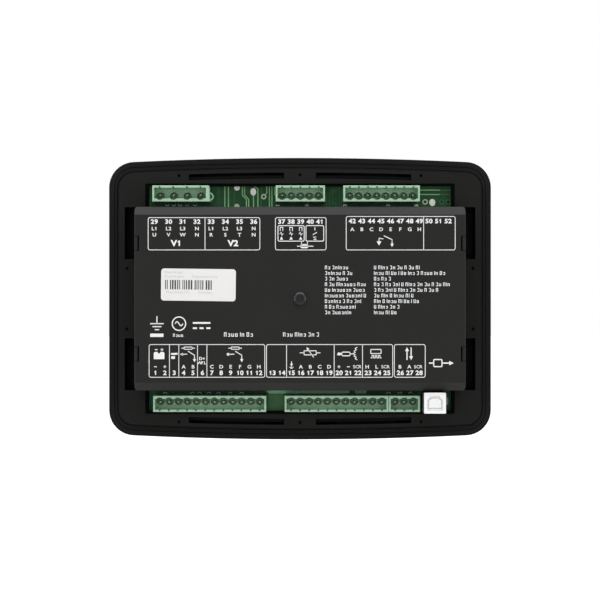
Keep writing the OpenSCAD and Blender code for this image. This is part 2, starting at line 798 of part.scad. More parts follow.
ct_side = 16;
ct_h = 13;
ct_corner = 1;
ct_step = 18;
ct_from_varistor = 32;
ct_head = 12.2;
ct_x = varistor_x + ct_from_varistor;
ct_z = cover_in_h - ct_head;
ct_places = [for (i = [0:3]) [ct_x + i * ct_step, ct_z]];
module current_transformers() color("#2c2c2c") rear() at_each(ct_places) slab(board_rear, board_rear + ct_h)
  rounded(ct_side, ct_side, ct_corner);

cell_d = 20;
cell_t = 3.2;
cell_lift = 1.2;
cell_cap_t = 0.6;
cell_cap_in = 1.2;
cell_clip_h = 2.24;
holder_wall = 1.5;
cell_x = choke_x;
cell_z = (relay_z + relay_size[1] / 2 + choke_z - choke_d / 2) / 2;
module coin_cell() color("#c2c2bd") rear() translate([cell_x, cell_z, board_rear + cell_lift]) {
  cylinder(d = cell_d, h = cell_t - cell_cap_t);
  translate([0, 0, cell_t - cell_cap_t]) cylinder(d = cell_d - 2 * cell_cap_in, h = cell_cap_t);
}

module coin_cell_holder() color("#232323") rear() translate([cell_x, cell_z, board_rear]) difference() {
  slab(0, cell_lift + cell_clip_h) difference() {
    circle(d = cell_d + 2 * holder_wall);
    area(-cell_d / 4, cell_d / 4, 0, cell_d);
  }
  translate([0, 0, cell_lift]) cylinder(d = cell_d + 2 * fit, h = cell_t);
}

chip_t = 1.6;
chip_lift = 0.1;
lead_w = 0.4;
lead_t = 0.15;
lead_out = 0.6;
lead_foot = 1.4;

// Flat package with legs on two or four sides
module chip(w, h, legs, step, four) {
  slab(chip_lift, chip_lift + chip_t) square([w, h], center = true);
  for (turn = four ? [0, 90, 180, 270] : [0, 180]) rotate([0, 0, turn]) for (i = [0:legs - 1])
    translate([(i - (legs - 1) / 2) * step, h / 2, 0]) {
      slab(0, chip_lift + chip_t / 2) area(-lead_w / 2, lead_w / 2, lead_out, lead_out + lead_t);
      slab(chip_lift + chip_t / 2 - lead_t, chip_lift + chip_t / 2)
        area(-lead_w / 2, lead_w / 2, -e, lead_out + lead_t);
      slab(0, lead_t) area(-lead_w / 2, lead_w / 2, lead_out, lead_foot);
    }
}

processor_side = 20;
processor_step = 1.3;
processor_x = 24;
processor_z = -4;
module processor() color("#1b1b1c") rear() translate([processor_x, processor_z, board_rear])
  chip(processor_side, processor_side, 14, processor_step, true);

logic_w = 10;
logic_h = 5.4;
logic_step = 1.27;
logic_z = 5;
logic_gap = 15;
logic_from_processor = 24;
logic_from_cell = 20;
logic_places = [for (i = [0, 1], x = [processor_x + logic_from_processor, cell_x + logic_from_cell])
  [x + i * logic_gap, logic_z]];
module logic_chips() color("#202022") rear() at_each(logic_places) translate([0, 0, board_rear])
  chip(logic_w, logic_h, 7, logic_step, false);

crystal_w = 11;
crystal_h = 4.6;
crystal_t = 3.6;
crystal_rim = 0.5;
crystal_r = 2.2;
crystal_drop = 16;
module crystal() color("#c4c4c0") rear() translate([processor_x, processor_z - crystal_drop, board_rear]) {
  slab(0, crystal_rim) rounded(crystal_w, crystal_h, crystal_r);
  slab(crystal_rim, crystal_t)
    rounded(crystal_w - 2 * crystal_rim, crystal_h - 2 * crystal_rim, crystal_r - crystal_rim);
}

// Rear case: a tub with a shoulder, terminal windows, a bay under the cover and four clip pockets

module case_body() bowed_loft(case_w, case_h, case_r, concat(
  [[0, -case_seat]],
  [for (i = [0:shoulder_steps]) let (a = 90 * i / shoulder_steps)
    [shoulder_r * (1 - cos(a)), case_d - shoulder_r * (1 - sin(a))]]
));

module windows(grow = 0) for (sy = [0, 1]) mirror([0, sy])
  area(-window_half - grow, window_half + grow, cover_h / 2 - (grow > 0 ? sill : 0), window_out + grow);

// Each pocket is narrower beside the terminal window and reaches under the cover at its tongue
module pockets(grow = 0) both_ways() {
  area(pocket_step - grow, pocket_out + grow, pocket_low - grow, pocket_high + grow);
  area(pocket_in - grow, pocket_out, pocket_low - grow, pocket_mid + grow);
}

tongue_leg_in = 0.9;
tongue_leg_w = tongue_w - 2 * tongue_leg_in;
hook_h = 2.2;
hook_play = 0.25;
hook_reach = 1.4;
hook_below = 0.9;
hook_top = shoulder_in - hook_below;

// Blind holes: four near the corners, one at the middle of each long side and two at each short side
dimple_x = 67.1;
dimple_in = 4.95;
dimple_mid_in = 4.55;
dimple_side_in = 5.75;
dimple_side_z = 16.8;

module rear_case() color("#1f1f1f") rear() difference() {
  union() {
    difference() {
      case_body();
      slab(-case_seat - 1, shoulder_in) case_shape(case_wall);
    }
    slab(pocket_floor - pocket_wall, shoulder_in + e) pockets(pocket_wall);
    slab(board_rear + seat_gap, shoulder_in + e) windows(skirt_t);
    at_each(board_fixings) translate([0, 0, board_rear])
      cylinder(d = boss_d, h = shoulder_in - board_rear + e);
  }
  slab(board_rear - 1, case_d + 1) windows();
  slab(board_rear - 1, case_d + 1) square([2 * bay_half_w, 2 * bay_half_h], center = true);
  slab(pocket_floor, case_d + 1) pockets();
  slab(shoulder_in - 1, case_d + 1) both_ways() intersection() {
    case_band(slot_in, slot_end);
    area(slot_near, slot_far, 0, case_h);
  }
  slab(barb_front - hook_play, barb_front + barb_h + hook_play) both_ways() intersection() {
    case_band(-1, case_wall + e);
    area(barb_near - hook_play, barb_far + hook_play, 0, case_h);
  }
  slab(hook_top - hook_h - hook_play, hook_top + hook_play) both_ways()
    area(pocket_in - pocket_wall - e, pocket_in + e, tongue_z - tongue_leg_w / 2 - hook_play,
      tongue_z + tongue_leg_w / 2 + hook_play);
  translate([0, 0, case_d - dimple_depth]) {
    both_ways() translate([dimple_x, case_h / 2 - dimple_in]) cylinder(d = dimple_d, h = 2);
    for (sy = [-1, 1]) translate([0, sy * (case_h / 2 - dimple_mid_in)]) cylinder(d = dimple_d, h = 2);
    both_ways() translate([case_w / 2 - dimple_side_in, dimple_side_z]) cylinder(d = dimple_d, h = 2);
  }
  at_each(board_fixings) translate([0, 0, board_rear - 1]) cylinder(d = pilot_d, h = pilot_depth + 1);
}

// Rear cover: a chamfered lid whose side walls carry four snap tongues

module cover_profile(wall) {
  h = cover_h / 2 - wall;
  top = cover_d - wall;
  cut = cover_chamfer - wall * (2 - sqrt(2));
  polygon([[-h, 0], [h, 0], [h, top - cut], [h - cut, top], [-h + cut, top], [-h, top - cut]]);
}

// The profile runs across the cover, so it is turned to lie along the width
module across(w) translate([-w / 2, 0, 0]) rotate([90, 0, 90]) linear_extrude(w) children();

// Outline of the cover seen from above, rounded along the label face's ends
module cover_ends() {
  w = cover_w / 2;
  area(-w, w, 0, cover_d - cover_edge_r);
  area(cover_edge_r - w, w - cover_edge_r, 0, cover_d);
  for (sx = [-1, 1]) translate([sx * (w - cover_edge_r), cover_d - cover_edge_r]) circle(cover_edge_r);
}

module cover_block() intersection() {
  across(cover_w) cover_profile(0);
  slab(0, cover_d) rounded(cover_w, cover_h, cover_corner_r);
  rotate([90, 0, 0]) linear_extrude(cover_h, center = true) cover_ends();
}

tongue_root = 3;
tongue_in = cover_w / 2 - tongue_t;
tongue_top = tongue_z + tongue_w / 2;
tongue_foot = tongue_z - tongue_w / 2;
leg_in = tongue_in + hook_play;

// Gap behind a tongue and the slits on both sides of it
module tongue_gaps() {
  area(tongue_in - tongue_gap, tongue_in, tongue_foot - tongue_slit, tongue_top + tongue_slit);
  area(tongue_in - tongue_gap, cover_w, tongue_foot - tongue_slit, tongue_foot);
  area(tongue_in - tongue_gap, cover_w, tongue_top, tongue_top + tongue_slit);
}

module tongue_leg(x0, x1) area(x0, x1, tongue_z - tongue_leg_w / 2, tongue_z + tongue_leg_w / 2);

module rear_cover() color("#2f2e2d") rear() {
  difference() {
    cover_block();
    across(cover_w - 2 * cover_wall) cover_profile(cover_wall);
    slab(-1, case_d) square([2 * cover_w, 2 * cover_h], center = true);
    slab(case_d + tongue_root, cover_d + 1) both_ways() tongue_gaps();
    translate([0, 0, cover_in - 1]) cylinder(d = screw_d + 2 * fit, h = cover_wall + 2);
  }
  both_ways() {
    slab(hook_top - hook_h, case_d + e) tongue_leg(leg_in, cover_w / 2 - hook_play);
    slab(hook_top - hook_h, hook_top) tongue_leg(leg_in - hook_reach, leg_in + e);
  }
}

post_d = 8;
post_thread = 9;
post_spare = 1;

module cover_post() color("#b08d3c") rear() difference() {
  translate([0, 0, board_rear]) cylinder(d = post_d, h = cover_in - board_rear);
  translate([0, 0, cover_in - post_thread]) cylinder(d = screw_d, h = post_thread + 1);
}

recess_d = 3.9;
recess_h = 0.9;

module cover_screw() color("#262626") rear() translate([0, 0, cover_d]) {
  difference() {
    rotate_extrude() {
      square([screw_head_d / 2 - screw_head_h, screw_head_h]);
      intersection() {
        translate([screw_head_d / 2 - screw_head_h, 0]) circle(screw_head_h);
        square([screw_head_d / 2, screw_head_h]);
      }
    }
    translate([0, 0, screw_head_h - recess_h]) cylinder(d = recess_d, h = 2);
  }
  screw_l = cover_wall + post_thread - post_spare;
  translate([0, 0, -screw_l]) cylinder(d = screw_d - 2 * slip, h = screw_l);
}

label_corner = 1.7;

module serial_label() color("#eeedeb") rear() translate([label_x - cover_w / 2, label_z])
  rotate([0, 0, label_lean]) slab(cover_d, cover_d + label_t) rounded(label_w, label_h, label_corner);

front_bezel();
facia();
display_window();
lcd_panel();
lcd_frame();
display_board();
display_board_screws();
tact_switches();
status_leds();
led_lenses();
key_stop();
key_manual();
key_auto();
key_mute();
key_start();
key_breaker_open();
key_breaker_close();
key_up();
key_down();
key_left();
key_right();
key_enter();
board_link_plug();
board_link_socket();
main_board();
main_board_screws();
header_01_12();
header_01_12_pins();
header_15_25();
header_15_25_pins();
header_26_28();
header_26_28_pins();
header_29_32();
header_29_32_pins();
header_37_41();
header_37_41_pins();
header_42_49();
header_42_49_pins();
usb_socket();
usb_contacts();
usb_shield();
relays();
capacitors();
current_transformers();
processor();
logic_chips();
crystal();
coin_cell();
coin_cell_holder();
choke();
varistors();
rear_case();
rear_cover();
cover_post();
cover_screw();
serial_label();
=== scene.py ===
import math

import bmesh
import bpy
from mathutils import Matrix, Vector


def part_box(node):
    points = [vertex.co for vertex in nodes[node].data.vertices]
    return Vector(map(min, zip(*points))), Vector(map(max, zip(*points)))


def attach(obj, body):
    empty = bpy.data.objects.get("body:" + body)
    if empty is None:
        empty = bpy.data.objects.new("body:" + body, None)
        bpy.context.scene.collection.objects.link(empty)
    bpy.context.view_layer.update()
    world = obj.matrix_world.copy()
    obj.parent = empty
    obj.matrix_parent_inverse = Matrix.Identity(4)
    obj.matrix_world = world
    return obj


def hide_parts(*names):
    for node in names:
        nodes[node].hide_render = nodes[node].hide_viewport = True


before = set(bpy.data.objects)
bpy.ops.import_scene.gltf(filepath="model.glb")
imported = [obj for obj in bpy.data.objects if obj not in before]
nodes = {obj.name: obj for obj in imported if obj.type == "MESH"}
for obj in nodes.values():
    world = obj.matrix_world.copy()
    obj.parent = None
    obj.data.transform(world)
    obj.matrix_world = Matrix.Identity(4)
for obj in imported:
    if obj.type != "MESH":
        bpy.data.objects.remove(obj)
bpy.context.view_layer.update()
scene = bpy.context.scene
scene.view_settings.view_transform = "Standard"
mm = 0.001
white = (1.0, 1.0, 1.0)
black = (0.0, 0.0, 0.0)
print("frame loaded,", len(nodes), "nodes")


class Wire:
    # a shader socket that takes part in Python sums
    def __init__(self, finish, socket):
        self.finish = finish
        self.socket = socket

    def sums(self, operation, first, second=0.0, clamp=False):
        return self.finish.node("ShaderNodeMath", {"operation": operation, "use_clamp": clamp},
                                {0: first, 1: second})

    def __add__(self, other):
        return self.sums("ADD", self, other)

    def __sub__(self, other):
        return self.sums("SUBTRACT", self, other)

    def __rsub__(self, other):
        return self.sums("SUBTRACT", other, self)

    def __mul__(self, other):
        return self.sums("MULTIPLY", self, other)

    def __pow__(self, other):
        return self.sums("POWER", self, other)

    def __gt__(self, other):
        return self.sums("GREATER_THAN", self, other)

    def __lt__(self, other):
        return self.sums("LESS_THAN", self, other)

    def __abs__(self):
        return self.sums("ABSOLUTE", self)

    def atLeast(self, least):
        return self.sums("MAXIMUM", self, least)

    def atMost(self, most):
        return self.sums("MINIMUM", self, most)

    def clamped(self, gain):
        # times the gain, held between 0 and 1
        return self.sums("MULTIPLY", self, gain, True)

    __radd__ = __add__
    __rmul__ = __mul__


class Finish:
    # the node tree of a material or of the world, with short ways to the textures used most
    bandLength = 0.32  # length of one wave at scale 1

    def __init__(self, owner):
        owner.use_nodes = True
        self.owner = owner
        self.tree = owner.node_tree
        self.tree.nodes.clear()
        self.place = self.node("ShaderNodeTexCoord", out="Object")

    def find(self, sockets, key):
        if isinstance(key, int):
            return sockets[key]
        matches = [s for s in sockets if s.identifier == key] or [s for s in sockets if s.name == key]
        return matches[0]

    def node(self, kind, settings=None, sockets=None, out=0):
        made = self.tree.nodes.new(kind)
        for key, value in (settings or {}).items():
            if key == "stops":
                self.setStops(made.color_ramp, value)
            else:
                setattr(made, key, value)
        for key, value in (sockets or {}).items():
            target = self.find(made.inputs, key)
            if isinstance(value, Wire):
                self.tree.links.new(value.socket, target)
            elif target.type == "RGBA":
                target.default_value = (*value, 1.0)
            else:
                target.default_value = value
        return Wire(self, self.find(made.outputs, out)) if made.outputs else made

    def setStops(self, ramp, stops):
        while len(ramp.elements) < len(stops):
            ramp.elements.new(1.0)
        for element, (position, tone) in zip(ramp.elements, stops):
            element.position = position
            element.color = (*tone, 1.0)

    def noise(self, size, detail=2.0, stretch=None):
        # size is the width of one blotch in millimetres
        spot = self.place
        if stretch:
            spot = self.node("ShaderNodeMapping", {}, {"Vector": spot, "Scale": stretch})
        sockets = {"Vector": spot, "Scale": 1 / (size * mm), "Detail": detail}
        return self.node("ShaderNodeTexNoise", {}, sockets)

    def cells(self, size):
        sockets = {"Vector": self.place, "Scale": 1 / (size * mm)}
        return self.node("ShaderNodeTexVoronoi", {"feature": "F1"}, sockets, "Distance")

    def waves(self, size, axis):
        sockets = {"Vector": self.place, "Scale": self.bandLength / (size * mm)}
        return self.node("ShaderNodeTexWave", {"bands_direction": axis}, sockets, "Fac")

    def ramp(self, amount, stops):
        return self.node("ShaderNodeValToRGB", {"stops": stops}, {"Fac": amount})

    def blend(self, amount, first, second):
        return self.node("ShaderNodeMix", {"data_type": "RGBA"},
                         {"Factor_Float": amount, "A_Color": first, "B_Color": second}, "Result_Color")

    def softEdge(self, radius):
        return self.node("ShaderNodeBevel", {"samples": 4}, {"Radius": radius * mm})

    def surface(self, out):
        return self.node("ShaderNodeNewGeometry", out=out)

    def along(self, vector, axis):
        return self.node("ShaderNodeSeparateXYZ", {}, {0: vector}, axis)

    def worn(self, rounded, gain=3.0):
        # 0 on flat faces, up to 1 along the edges
        sockets = {0: rounded, 1: self.surface("Normal")}
        agree = self.node("ShaderNodeVectorMath", {"operation": "DOT_PRODUCT"}, sockets, "Value")
        return (1 - agree).clamped(gain)

    def crevice(self, reach):
        # 0 on open faces, up to 1 in narrow places; the mask of the painted crevice shade
        openness = self.node("ShaderNodeAmbientOcclusion", {"samples": 6, "only_local": True},
                             {"Distance": reach * mm}, "AO")
        return 1 - openness

    def sideways(self, straight=0.99, gain=20.0):
        # 0 on faces that look straight back or forward, 1 on side walls and rounded edges; the mask of the
        # painted side shade
        facing = abs(self.along(self.surface("Normal"), "Y"))
        return (straight - facing).clamped(gain)

    def behind(self, level):
        # 1 on everything further back than the level, for the painted shade on the latches inside the slots
        return self.along(self.surface("Position"), "Y") < level * mm

    def relief(self, height, depth, normal=None):
        sockets = {"Height": height, "Distance": depth * mm, "Strength": 1.0}
        if normal:
            sockets["Normal"] = normal
        return self.node("ShaderNodeBump", {}, sockets)

    def done(self, sockets):
        shader = self.node("ShaderNodeBsdfPrincipled", {}, sockets)
        self.node("ShaderNodeOutputMaterial", {}, {"Surface": shader})
        return self.owner


def newFinish(name):
    return Finish(bpy.data.materials.new(name))


def shade(tone, factor):
    return tuple(min(1.0, channel * factor) for channel in tone)


def mouldedPlastic(name, look):
    finish = newFinish(name)
    rounded = finish.softEdge(look["edge"])
    worn = finish.worn(rounded)
    blotch = finish.noise(look["blotch"], detail=3.0)
    grain = finish.noise(look["grain"])
    plain = look["tone"]
    tone = finish.blend(blotch, shade(plain, 1 - look["spread"]), shade(plain, 1 + look["spread"]))
    tone = finish.blend(grain * look["speckle"], tone, shade(plain, look["specklePale"]))
    tone = finish.blend(worn * look["wear"], tone, shade(plain, look["wearPale"]))
    # painted shade: side walls and rounded edges go darker, towards black
    if "sideShade" in look:
        tone = finish.blend(finish.sideways() * look["sideShade"], tone, black)
    # painted shade: faces deep in the slots, the latch ends, go darker
    if "latchLevel" in look:
        tone = finish.blend(finish.behind(look["latchLevel"]), tone, shade(plain, look["latchShade"]))
    # painted shade: narrow places and hollows take a darker tone
    if "crevice" in look:
        creviceShadeAmount = finish.crevice(look["creviceReach"]) * look["crevice"]
        tone = finish.blend(creviceShadeAmount, tone, look["creviceTone"])
    rough = look["rough"] + look["roughSpread"] * (blotch + grain - 1.0)
    return finish.done({"Base Color": tone, "Roughness": rough - worn * look["wearSmooth"],
                        "Specular IOR Level": look["gloss"], "Subsurface Weight": look["depth"],
                        "Subsurface Radius": look["depthSpread"],
                        "Subsurface Scale": look["depthReach"] * mm,
                        "Normal": finish.relief(grain, look["relief"], rounded)})


plasticGrain = {
    "blotch": 14.0, "grain": 0.30, "relief": 0.018, "edge": 0.22, "roughSpread": 0.14, "spread": 0.08,
    "gloss": 0.4, "wear": 0.0, "wearPale": 4.0, "wearSmooth": 0.12, "speckle": 0.03, "specklePale": 2.2,
    "latchShade": 0.3, "depth": 0.0, "depthReach": 0.6, "depthSpread": (1.0, 1.0, 1.0),
}
# the side, latch and crevice keys below add painted shade to the bezel, case, header and white USB finishes
plastics = {
    "bezel_plastic": {"tone": (0.0136, 0.0131, 0.0128), "spread": 0.10, "rough": 0.66, "gloss": 0.02,
                      "speckle": 0.10, "sideShade": 0.75, "latchLevel": -8.0},
    "case_plastic": {"tone": (0.0140, 0.0134, 0.0128), "spread": 0.12, "rough": 0.64, "gloss": 0.006,
                     "speckle": 0.12, "sideShade": 0.92, "crevice": 0.8, "creviceReach": 5.0,
                     "creviceTone": (0.003, 0.003, 0.003)},
    "cover_plastic": {"tone": (0.0134, 0.0125, 0.0118), "spread": 0.10, "rough": 0.50, "gloss": 0.09,
                      "wear": 0.08, "speckle": 0.10},
    "black_plastic": {"tone": (0.012, 0.012, 0.012), "spread": 0.15, "rough": 0.45, "gloss": 0.3,
                      "wear": 0.20, "speckle": 0.10},
    "key_red": {"tone": (0.42, 0.018, 0.016), "rough": 0.42, "wear": 0.04, "depth": 0.06},
    "key_green": {"tone": (0.022, 0.24, 0.055), "rough": 0.42, "wear": 0.04, "depth": 0.06},
    "key_grey": {"tone": (0.30, 0.31, 0.32), "spread": 0.07, "rough": 0.44, "wear": 0.05, "depth": 0.06},
    "header_green": {"tone": (0.285, 0.430, 0.300), "rough": 0.42, "gloss": 0.35, "wear": 0.03,
                     "speckle": 0.05, "depth": 0.04, "crevice": 0.60, "creviceReach": 5.0,
                     "creviceTone": (0.042, 0.215, 0.042)},
    "usb_white": {"tone": (0.80, 0.775, 0.755), "spread": 0.02, "rough": 0.40, "gloss": 0.25,
                  "speckle": 0.02, "depth": 0.05, "sideShade": 0.85},
    "plugWhite": {"tone": (0.77, 0.755, 0.735), "spread": 0.02, "rough": 0.50, "gloss": 0.20,
                  "speckle": 0.02, "depth": 0.05, "sideShade": 0.45},
    # near-black finish of the painted shadow ribs in the terminal windows
    "shadowPlastic": {"tone": (0.0016, 0.0015, 0.0014), "spread": 0.05, "rough": 0.80, "gloss": 0.02,
                      "speckle": 0.02},
    "screw_black": {"tone": (0.011, 0.011, 0.011), "spread": 0.12, "rough": 0.24, "gloss": 0.16,
                    "speckle": 0.05, "relief": 0.002, "roughSpread": 0.06},
    # glossier copy of the screw finish for the upper side of the head: painted highlight
    "screwRim": {"tone": (0.011, 0.011, 0.011), "spread": 0.12, "rough": 0.24, "gloss": 0.42,
                 "speckle": 0.05, "relief": 0.001, "roughSpread": 0.06},
    "relay_blue": {"tone": (0.03, 0.10, 0.30), "rough": 0.35, "gloss": 0.5, "wear": 0.05},
    "varistor_blue": {"tone": (0.02, 0.12, 0.34), "spread": 0.12, "rough": 0.30, "gloss": 0.5,
                      "speckle": 0.06},
    "chip_black": {"tone": (0.016, 0.016, 0.017), "spread": 0.15, "rough": 0.60, "gloss": 0.3,
                   "wear": 0.1, "speckle": 0.15},
    "ferrite": {"tone": (0.030, 0.029, 0.028), "spread": 0.20, "rough": 0.70, "gloss": 0.3,
                "wear": 0.1, "speckle": 0.20},
    "capacitor_sleeve": {"tone": (0.018, 0.020, 0.026), "spread": 0.10, "rough": 0.32, "gloss": 0.5,
                         "wear": 0.05, "speckle": 0.04},
}


def platedMetal(name, look):
    finish = newFinish(name)
    rounded = finish.softEdge(look["edge"])
    brushed = finish.noise(look["brush"], 3.0, look["brushStretch"])
    dull = finish.noise(look["blotch"], detail=3.0)
    tone = finish.blend(dull, look["tone"], look["tarnish"])
    rough = look["rough"] + look["roughSpread"] * (dull - 0.5) + look["brushRough"] * (brushed - 0.5)
    return finish.done({"Base Color": tone, "Metallic": 1.0, "Roughness": rough,
                        "Normal": finish.relief(brushed, look["relief"], rounded)})


metalGrain = {"blotch": 3.0, "brush": 0.12, "brushStretch": (0.12, 1.0, 1.0), "brushRough": 0.10,
              "relief": 0.004, "edge": 0.12, "roughSpread": 0.16}
metals = {
    "sheet_metal": {"tone": (0.62, 0.63, 0.62), "tarnish": (0.48, 0.48, 0.46), "rough": 0.32},
    "zinc_screw": {"tone": (0.66, 0.66, 0.60), "tarnish": (0.50, 0.50, 0.52), "rough": 0.34},
    "pin_tin": {"tone": (0.25, 0.28, 0.21), "tarnish": (0.16, 0.19, 0.135), "rough": 0.46},
    "shieldTin": {"tone": (0.105, 0.105, 0.100), "tarnish": (0.070, 0.070, 0.066), "rough": 0.50},
    "gold_contact": {"tone": (0.83, 0.60, 0.26), "tarnish": (0.70, 0.48, 0.20), "rough": 0.22},
    "cell_steel": {"tone": (0.66, 0.66, 0.67), "tarnish": (0.56, 0.56, 0.57), "rough": 0.26},
    "post_brass": {"tone": (0.72, 0.53, 0.24), "tarnish": (0.52, 0.37, 0.17), "rough": 0.34},
}


def boardLaminate(name, look):
    # green solder mask over a glass weave, with lighter copper fields under it
    finish = newFinish(name)
    weave = finish.waves(look["weave"], "X") * finish.waves(look["weave"], "Z")
    stops = list(zip(look["fieldEdge"], (look["bare"], look["copper"])))
    fields = finish.ramp(finish.noise(look["field"], detail=1.0), stops)
    mottle = finish.noise(look["mottle"], detail=4.0)
    tone = finish.blend(mottle * look["mottleShare"], fields, look["dark"])
    tone = finish.blend(weave * look["weaveShare"], tone, look["copper"])
    rounded = finish.softEdge(look["edge"])
    return finish.done({"Base Color": tone, "Roughness": look["rough"] + look["roughSpread"] * mottle,
                        "Specular IOR Level": look["gloss"],
                        "Normal": finish.relief(weave + mottle, look["relief"], rounded)})


laminate = {
    "bare": (0.0140, 0.064, 0.0245), "copper": (0.0195, 0.090, 0.0310), "dark": (0.0080, 0.041, 0.0160),
    "field": 9.0, "fieldEdge": (0.46, 0.54), "weave": 0.5, "weaveShare": 0.12, "mottle": 1.6,
    "mottleShare": 0.7, "rough": 0.34, "roughSpread": 0.20, "gloss": 0.12, "relief": 0.012, "edge": 0.15,
}


def faciaFilm(name, look):
    # velvet-textured polyester sheet with a lighter printed field under the mode keys
    finish = newFinish(name)
    velvet = finish.cells(look["velvet"])
    blotch = finish.noise(look["blotch"])
    aside = abs(finish.along(finish.place, "X") - look["fieldX"] * mm) - look["fieldHalfX"] * mm
    above = abs(finish.along(finish.place, "Z") - look["fieldZ"] * mm) - look["fieldHalfZ"] * mm
    corner = aside.atLeast(0.0) ** 2.0 + above.atLeast(0.0) ** 2.0
    inside = (look["fieldCorner"] * mm) ** 2 - corner > 0.0
    tone = finish.blend(inside, look["tone"], look["fieldTone"])
    tone = finish.blend(blotch * look["blotchShare"], tone, black)
    rough = look["rough"] + look["velvetRough"] * velvet + look["blotchRough"] * blotch
    return finish.done({"Base Color": tone, "Roughness": rough, "Specular IOR Level": look["gloss"],
                        "Normal": finish.relief(velvet, look["relief"], finish.softEdge(look["edge"]))})


film = {
    "tone": (0.017, 0.020, 0.024), "velvet": 0.16, "velvetRough": 0.14, "blotch": 30.0, "blotchShare": 0.12,
    "blotchRough": 0.08, "rough": 0.42, "gloss": 0.14, "relief": 0.02, "edge": 0.15,
    "fieldTone": (0.070, 0.077, 0.083), "fieldX": 8.0, "fieldHalfX": 77.0, "fieldZ": -48.0,
    "fieldHalfZ": 8.6, "fieldCorner": 6.0,
}


def clearSheet(name, look):
    # clear sheet or frosted light pipe, faintly marked by handling
    finish = newFinish(name)
    smear = finish.noise(look["smear"], detail=4.0)
    tone = finish.blend(smear, look["tone"], shade(look["tone"], look["smearShade"]))
    return finish.done({"Base Color": tone, "Roughness": look["rough"] + look["roughSpread"] * smear,
                        "Transmission Weight": look["clear"], "IOR": look["bending"]})


clearGrain = {"smearShade": 0.97, "bending": 1.49}
clears = {
    "clear_window": {"tone": (0.95, 0.97, 0.97), "rough": 0.02, "roughSpread": 0.03, "clear": 1.0,
                     "smear": 12.0},
    "light_pipe": {"tone": (0.90, 0.92, 0.92), "rough": 0.30, "roughSpread": 0.15, "clear": 0.7,
                   "smear": 0.8},
    "lamp_plastic": {"tone": (0.85, 0.86, 0.78), "rough": 0.20, "roughSpread": 0.10, "clear": 0.4,
                     "smear": 0.6},
}


def displayGlass(name, look):
    # reflective liquid-crystal panel with its fine dot raster, and a faint painted glow of its own colour
    finish = newFinish(name)
    raster = finish.waves(look["dot"], "X") * finish.waves(look["dot"], "Z")
    cloud = finish.noise(look["cloud"], detail=1.0)
    tone = finish.blend(cloud, look["tone"], shade(look["tone"], look["cloudPale"]))
    tone = finish.blend(raster * look["dotShare"], tone, shade(look["tone"], look["dotShade"]))
    # the emission is painted glow in the panel's own colour
    return finish.done({"Base Color": tone, "Roughness": look["rough"] + look["roughSpread"] * cloud,
                        "Specular IOR Level": look["gloss"], "Emission Color": tone,
                        "Emission Strength": look["glow"]})


glass = {"tone": (0.33, 0.42, 0.30), "dot": 0.35, "dotShare": 0.10, "dotShade": 0.75, "cloud": 60.0,
         "cloudPale": 1.15, "rough": 0.22, "roughSpread": 0.08, "gloss": 0.4, "glow": 0.18}


def labelPaper(name, look):
    # coated paper with a faint fibre
    finish = newFinish(name)
    fibre = finish.noise(look["fibre"], detail=4.0)
    tone = finish.blend(finish.noise(look["cloud"]), look["tone"], shade(look["tone"], look["cloudShade"]))
    return finish.done({"Base Color": tone, "Roughness": look["rough"] + look["roughSpread"] * fibre,
                        "Specular IOR Level": look["gloss"],
                        "Normal": finish.relief(fibre, look["relief"], finish.softEdge(look["edge"]))})


paper = {"tone": (0.690, 0.662, 0.640), "fibre": 0.5, "cloud": 9.0, "cloudShade": 0.97, "rough": 0.46,
         "roughSpread": 0.16, "gloss": 0.25, "relief": 0.006, "edge": 0.1}


def printedInk(name, look):
    # screen-printed ink: thinner and rougher in places
    finish = newFinish(name)
    thin = finish.noise(look["thin"], detail=3.0)
    tone = finish.blend(thin, look["tone"], shade(look["tone"], look["fade"]))
    return finish.done({"Base Color": tone, "Roughness": look["rough"] + look["roughSpread"] * thin,
                        "Specular IOR Level": look["gloss"], "Metallic": look["metal"],
                        "Normal": finish.relief(thin, look["relief"])})


inkFilm = {"roughSpread": 0.15, "gloss": 0.3, "metal": 0.0, "relief": 0.004}
inks = {
    "whiteInk": {"tone": (0.765, 0.755, 0.735), "fade": 0.88, "rough": 0.45, "thin": 0.35},
    "greyInk": {"tone": (0.30, 0.30, 0.31), "fade": 0.85, "rough": 0.50, "thin": 0.30},
    "darkInk": {"tone": (0.030, 0.030, 0.033), "fade": 1.5, "rough": 0.50, "thin": 0.30},
    "paleGreyInk": {"tone": (0.46, 0.46, 0.46), "fade": 0.9, "rough": 0.5, "thin": 0.25},
    "traceGreen": {"tone": (0.250, 0.480, 0.210), "fade": 0.82, "rough": 0.32, "thin": 1.2},
    "fieldGreen": {"tone": (0.019, 0.116, 0.023), "fade": 0.75, "rough": 0.32, "thin": 1.6},
    # dark green of the painted notch shade on the header rims
    "notchGreen": {"tone": (0.042, 0.100, 0.052), "fade": 0.80, "rough": 0.50, "thin": 0.6},
    "solderTin": {"tone": (0.66, 0.68, 0.60), "fade": 0.80, "rough": 0.34, "thin": 0.5, "metal": 0.35},
    "ringTin": {"tone": (0.38, 0.46, 0.30), "fade": 0.75, "rough": 0.34, "thin": 0.5, "metal": 0.25},
    "stripGreen": {"tone": (0.220, 0.480, 0.270), "fade": 0.75, "rough": 0.32, "thin": 1.6},
    "boardInk": {"tone": (0.66, 0.73, 0.66), "fade": 0.70, "rough": 0.55, "thin": 0.4},
    "lampRed": {"tone": (0.30, 0.020, 0.018), "fade": 0.85, "rough": 0.30, "thin": 0.8},
    "lampDark": {"tone": (0.060, 0.075, 0.070), "fade": 0.9, "rough": 0.30, "thin": 0.8},
}

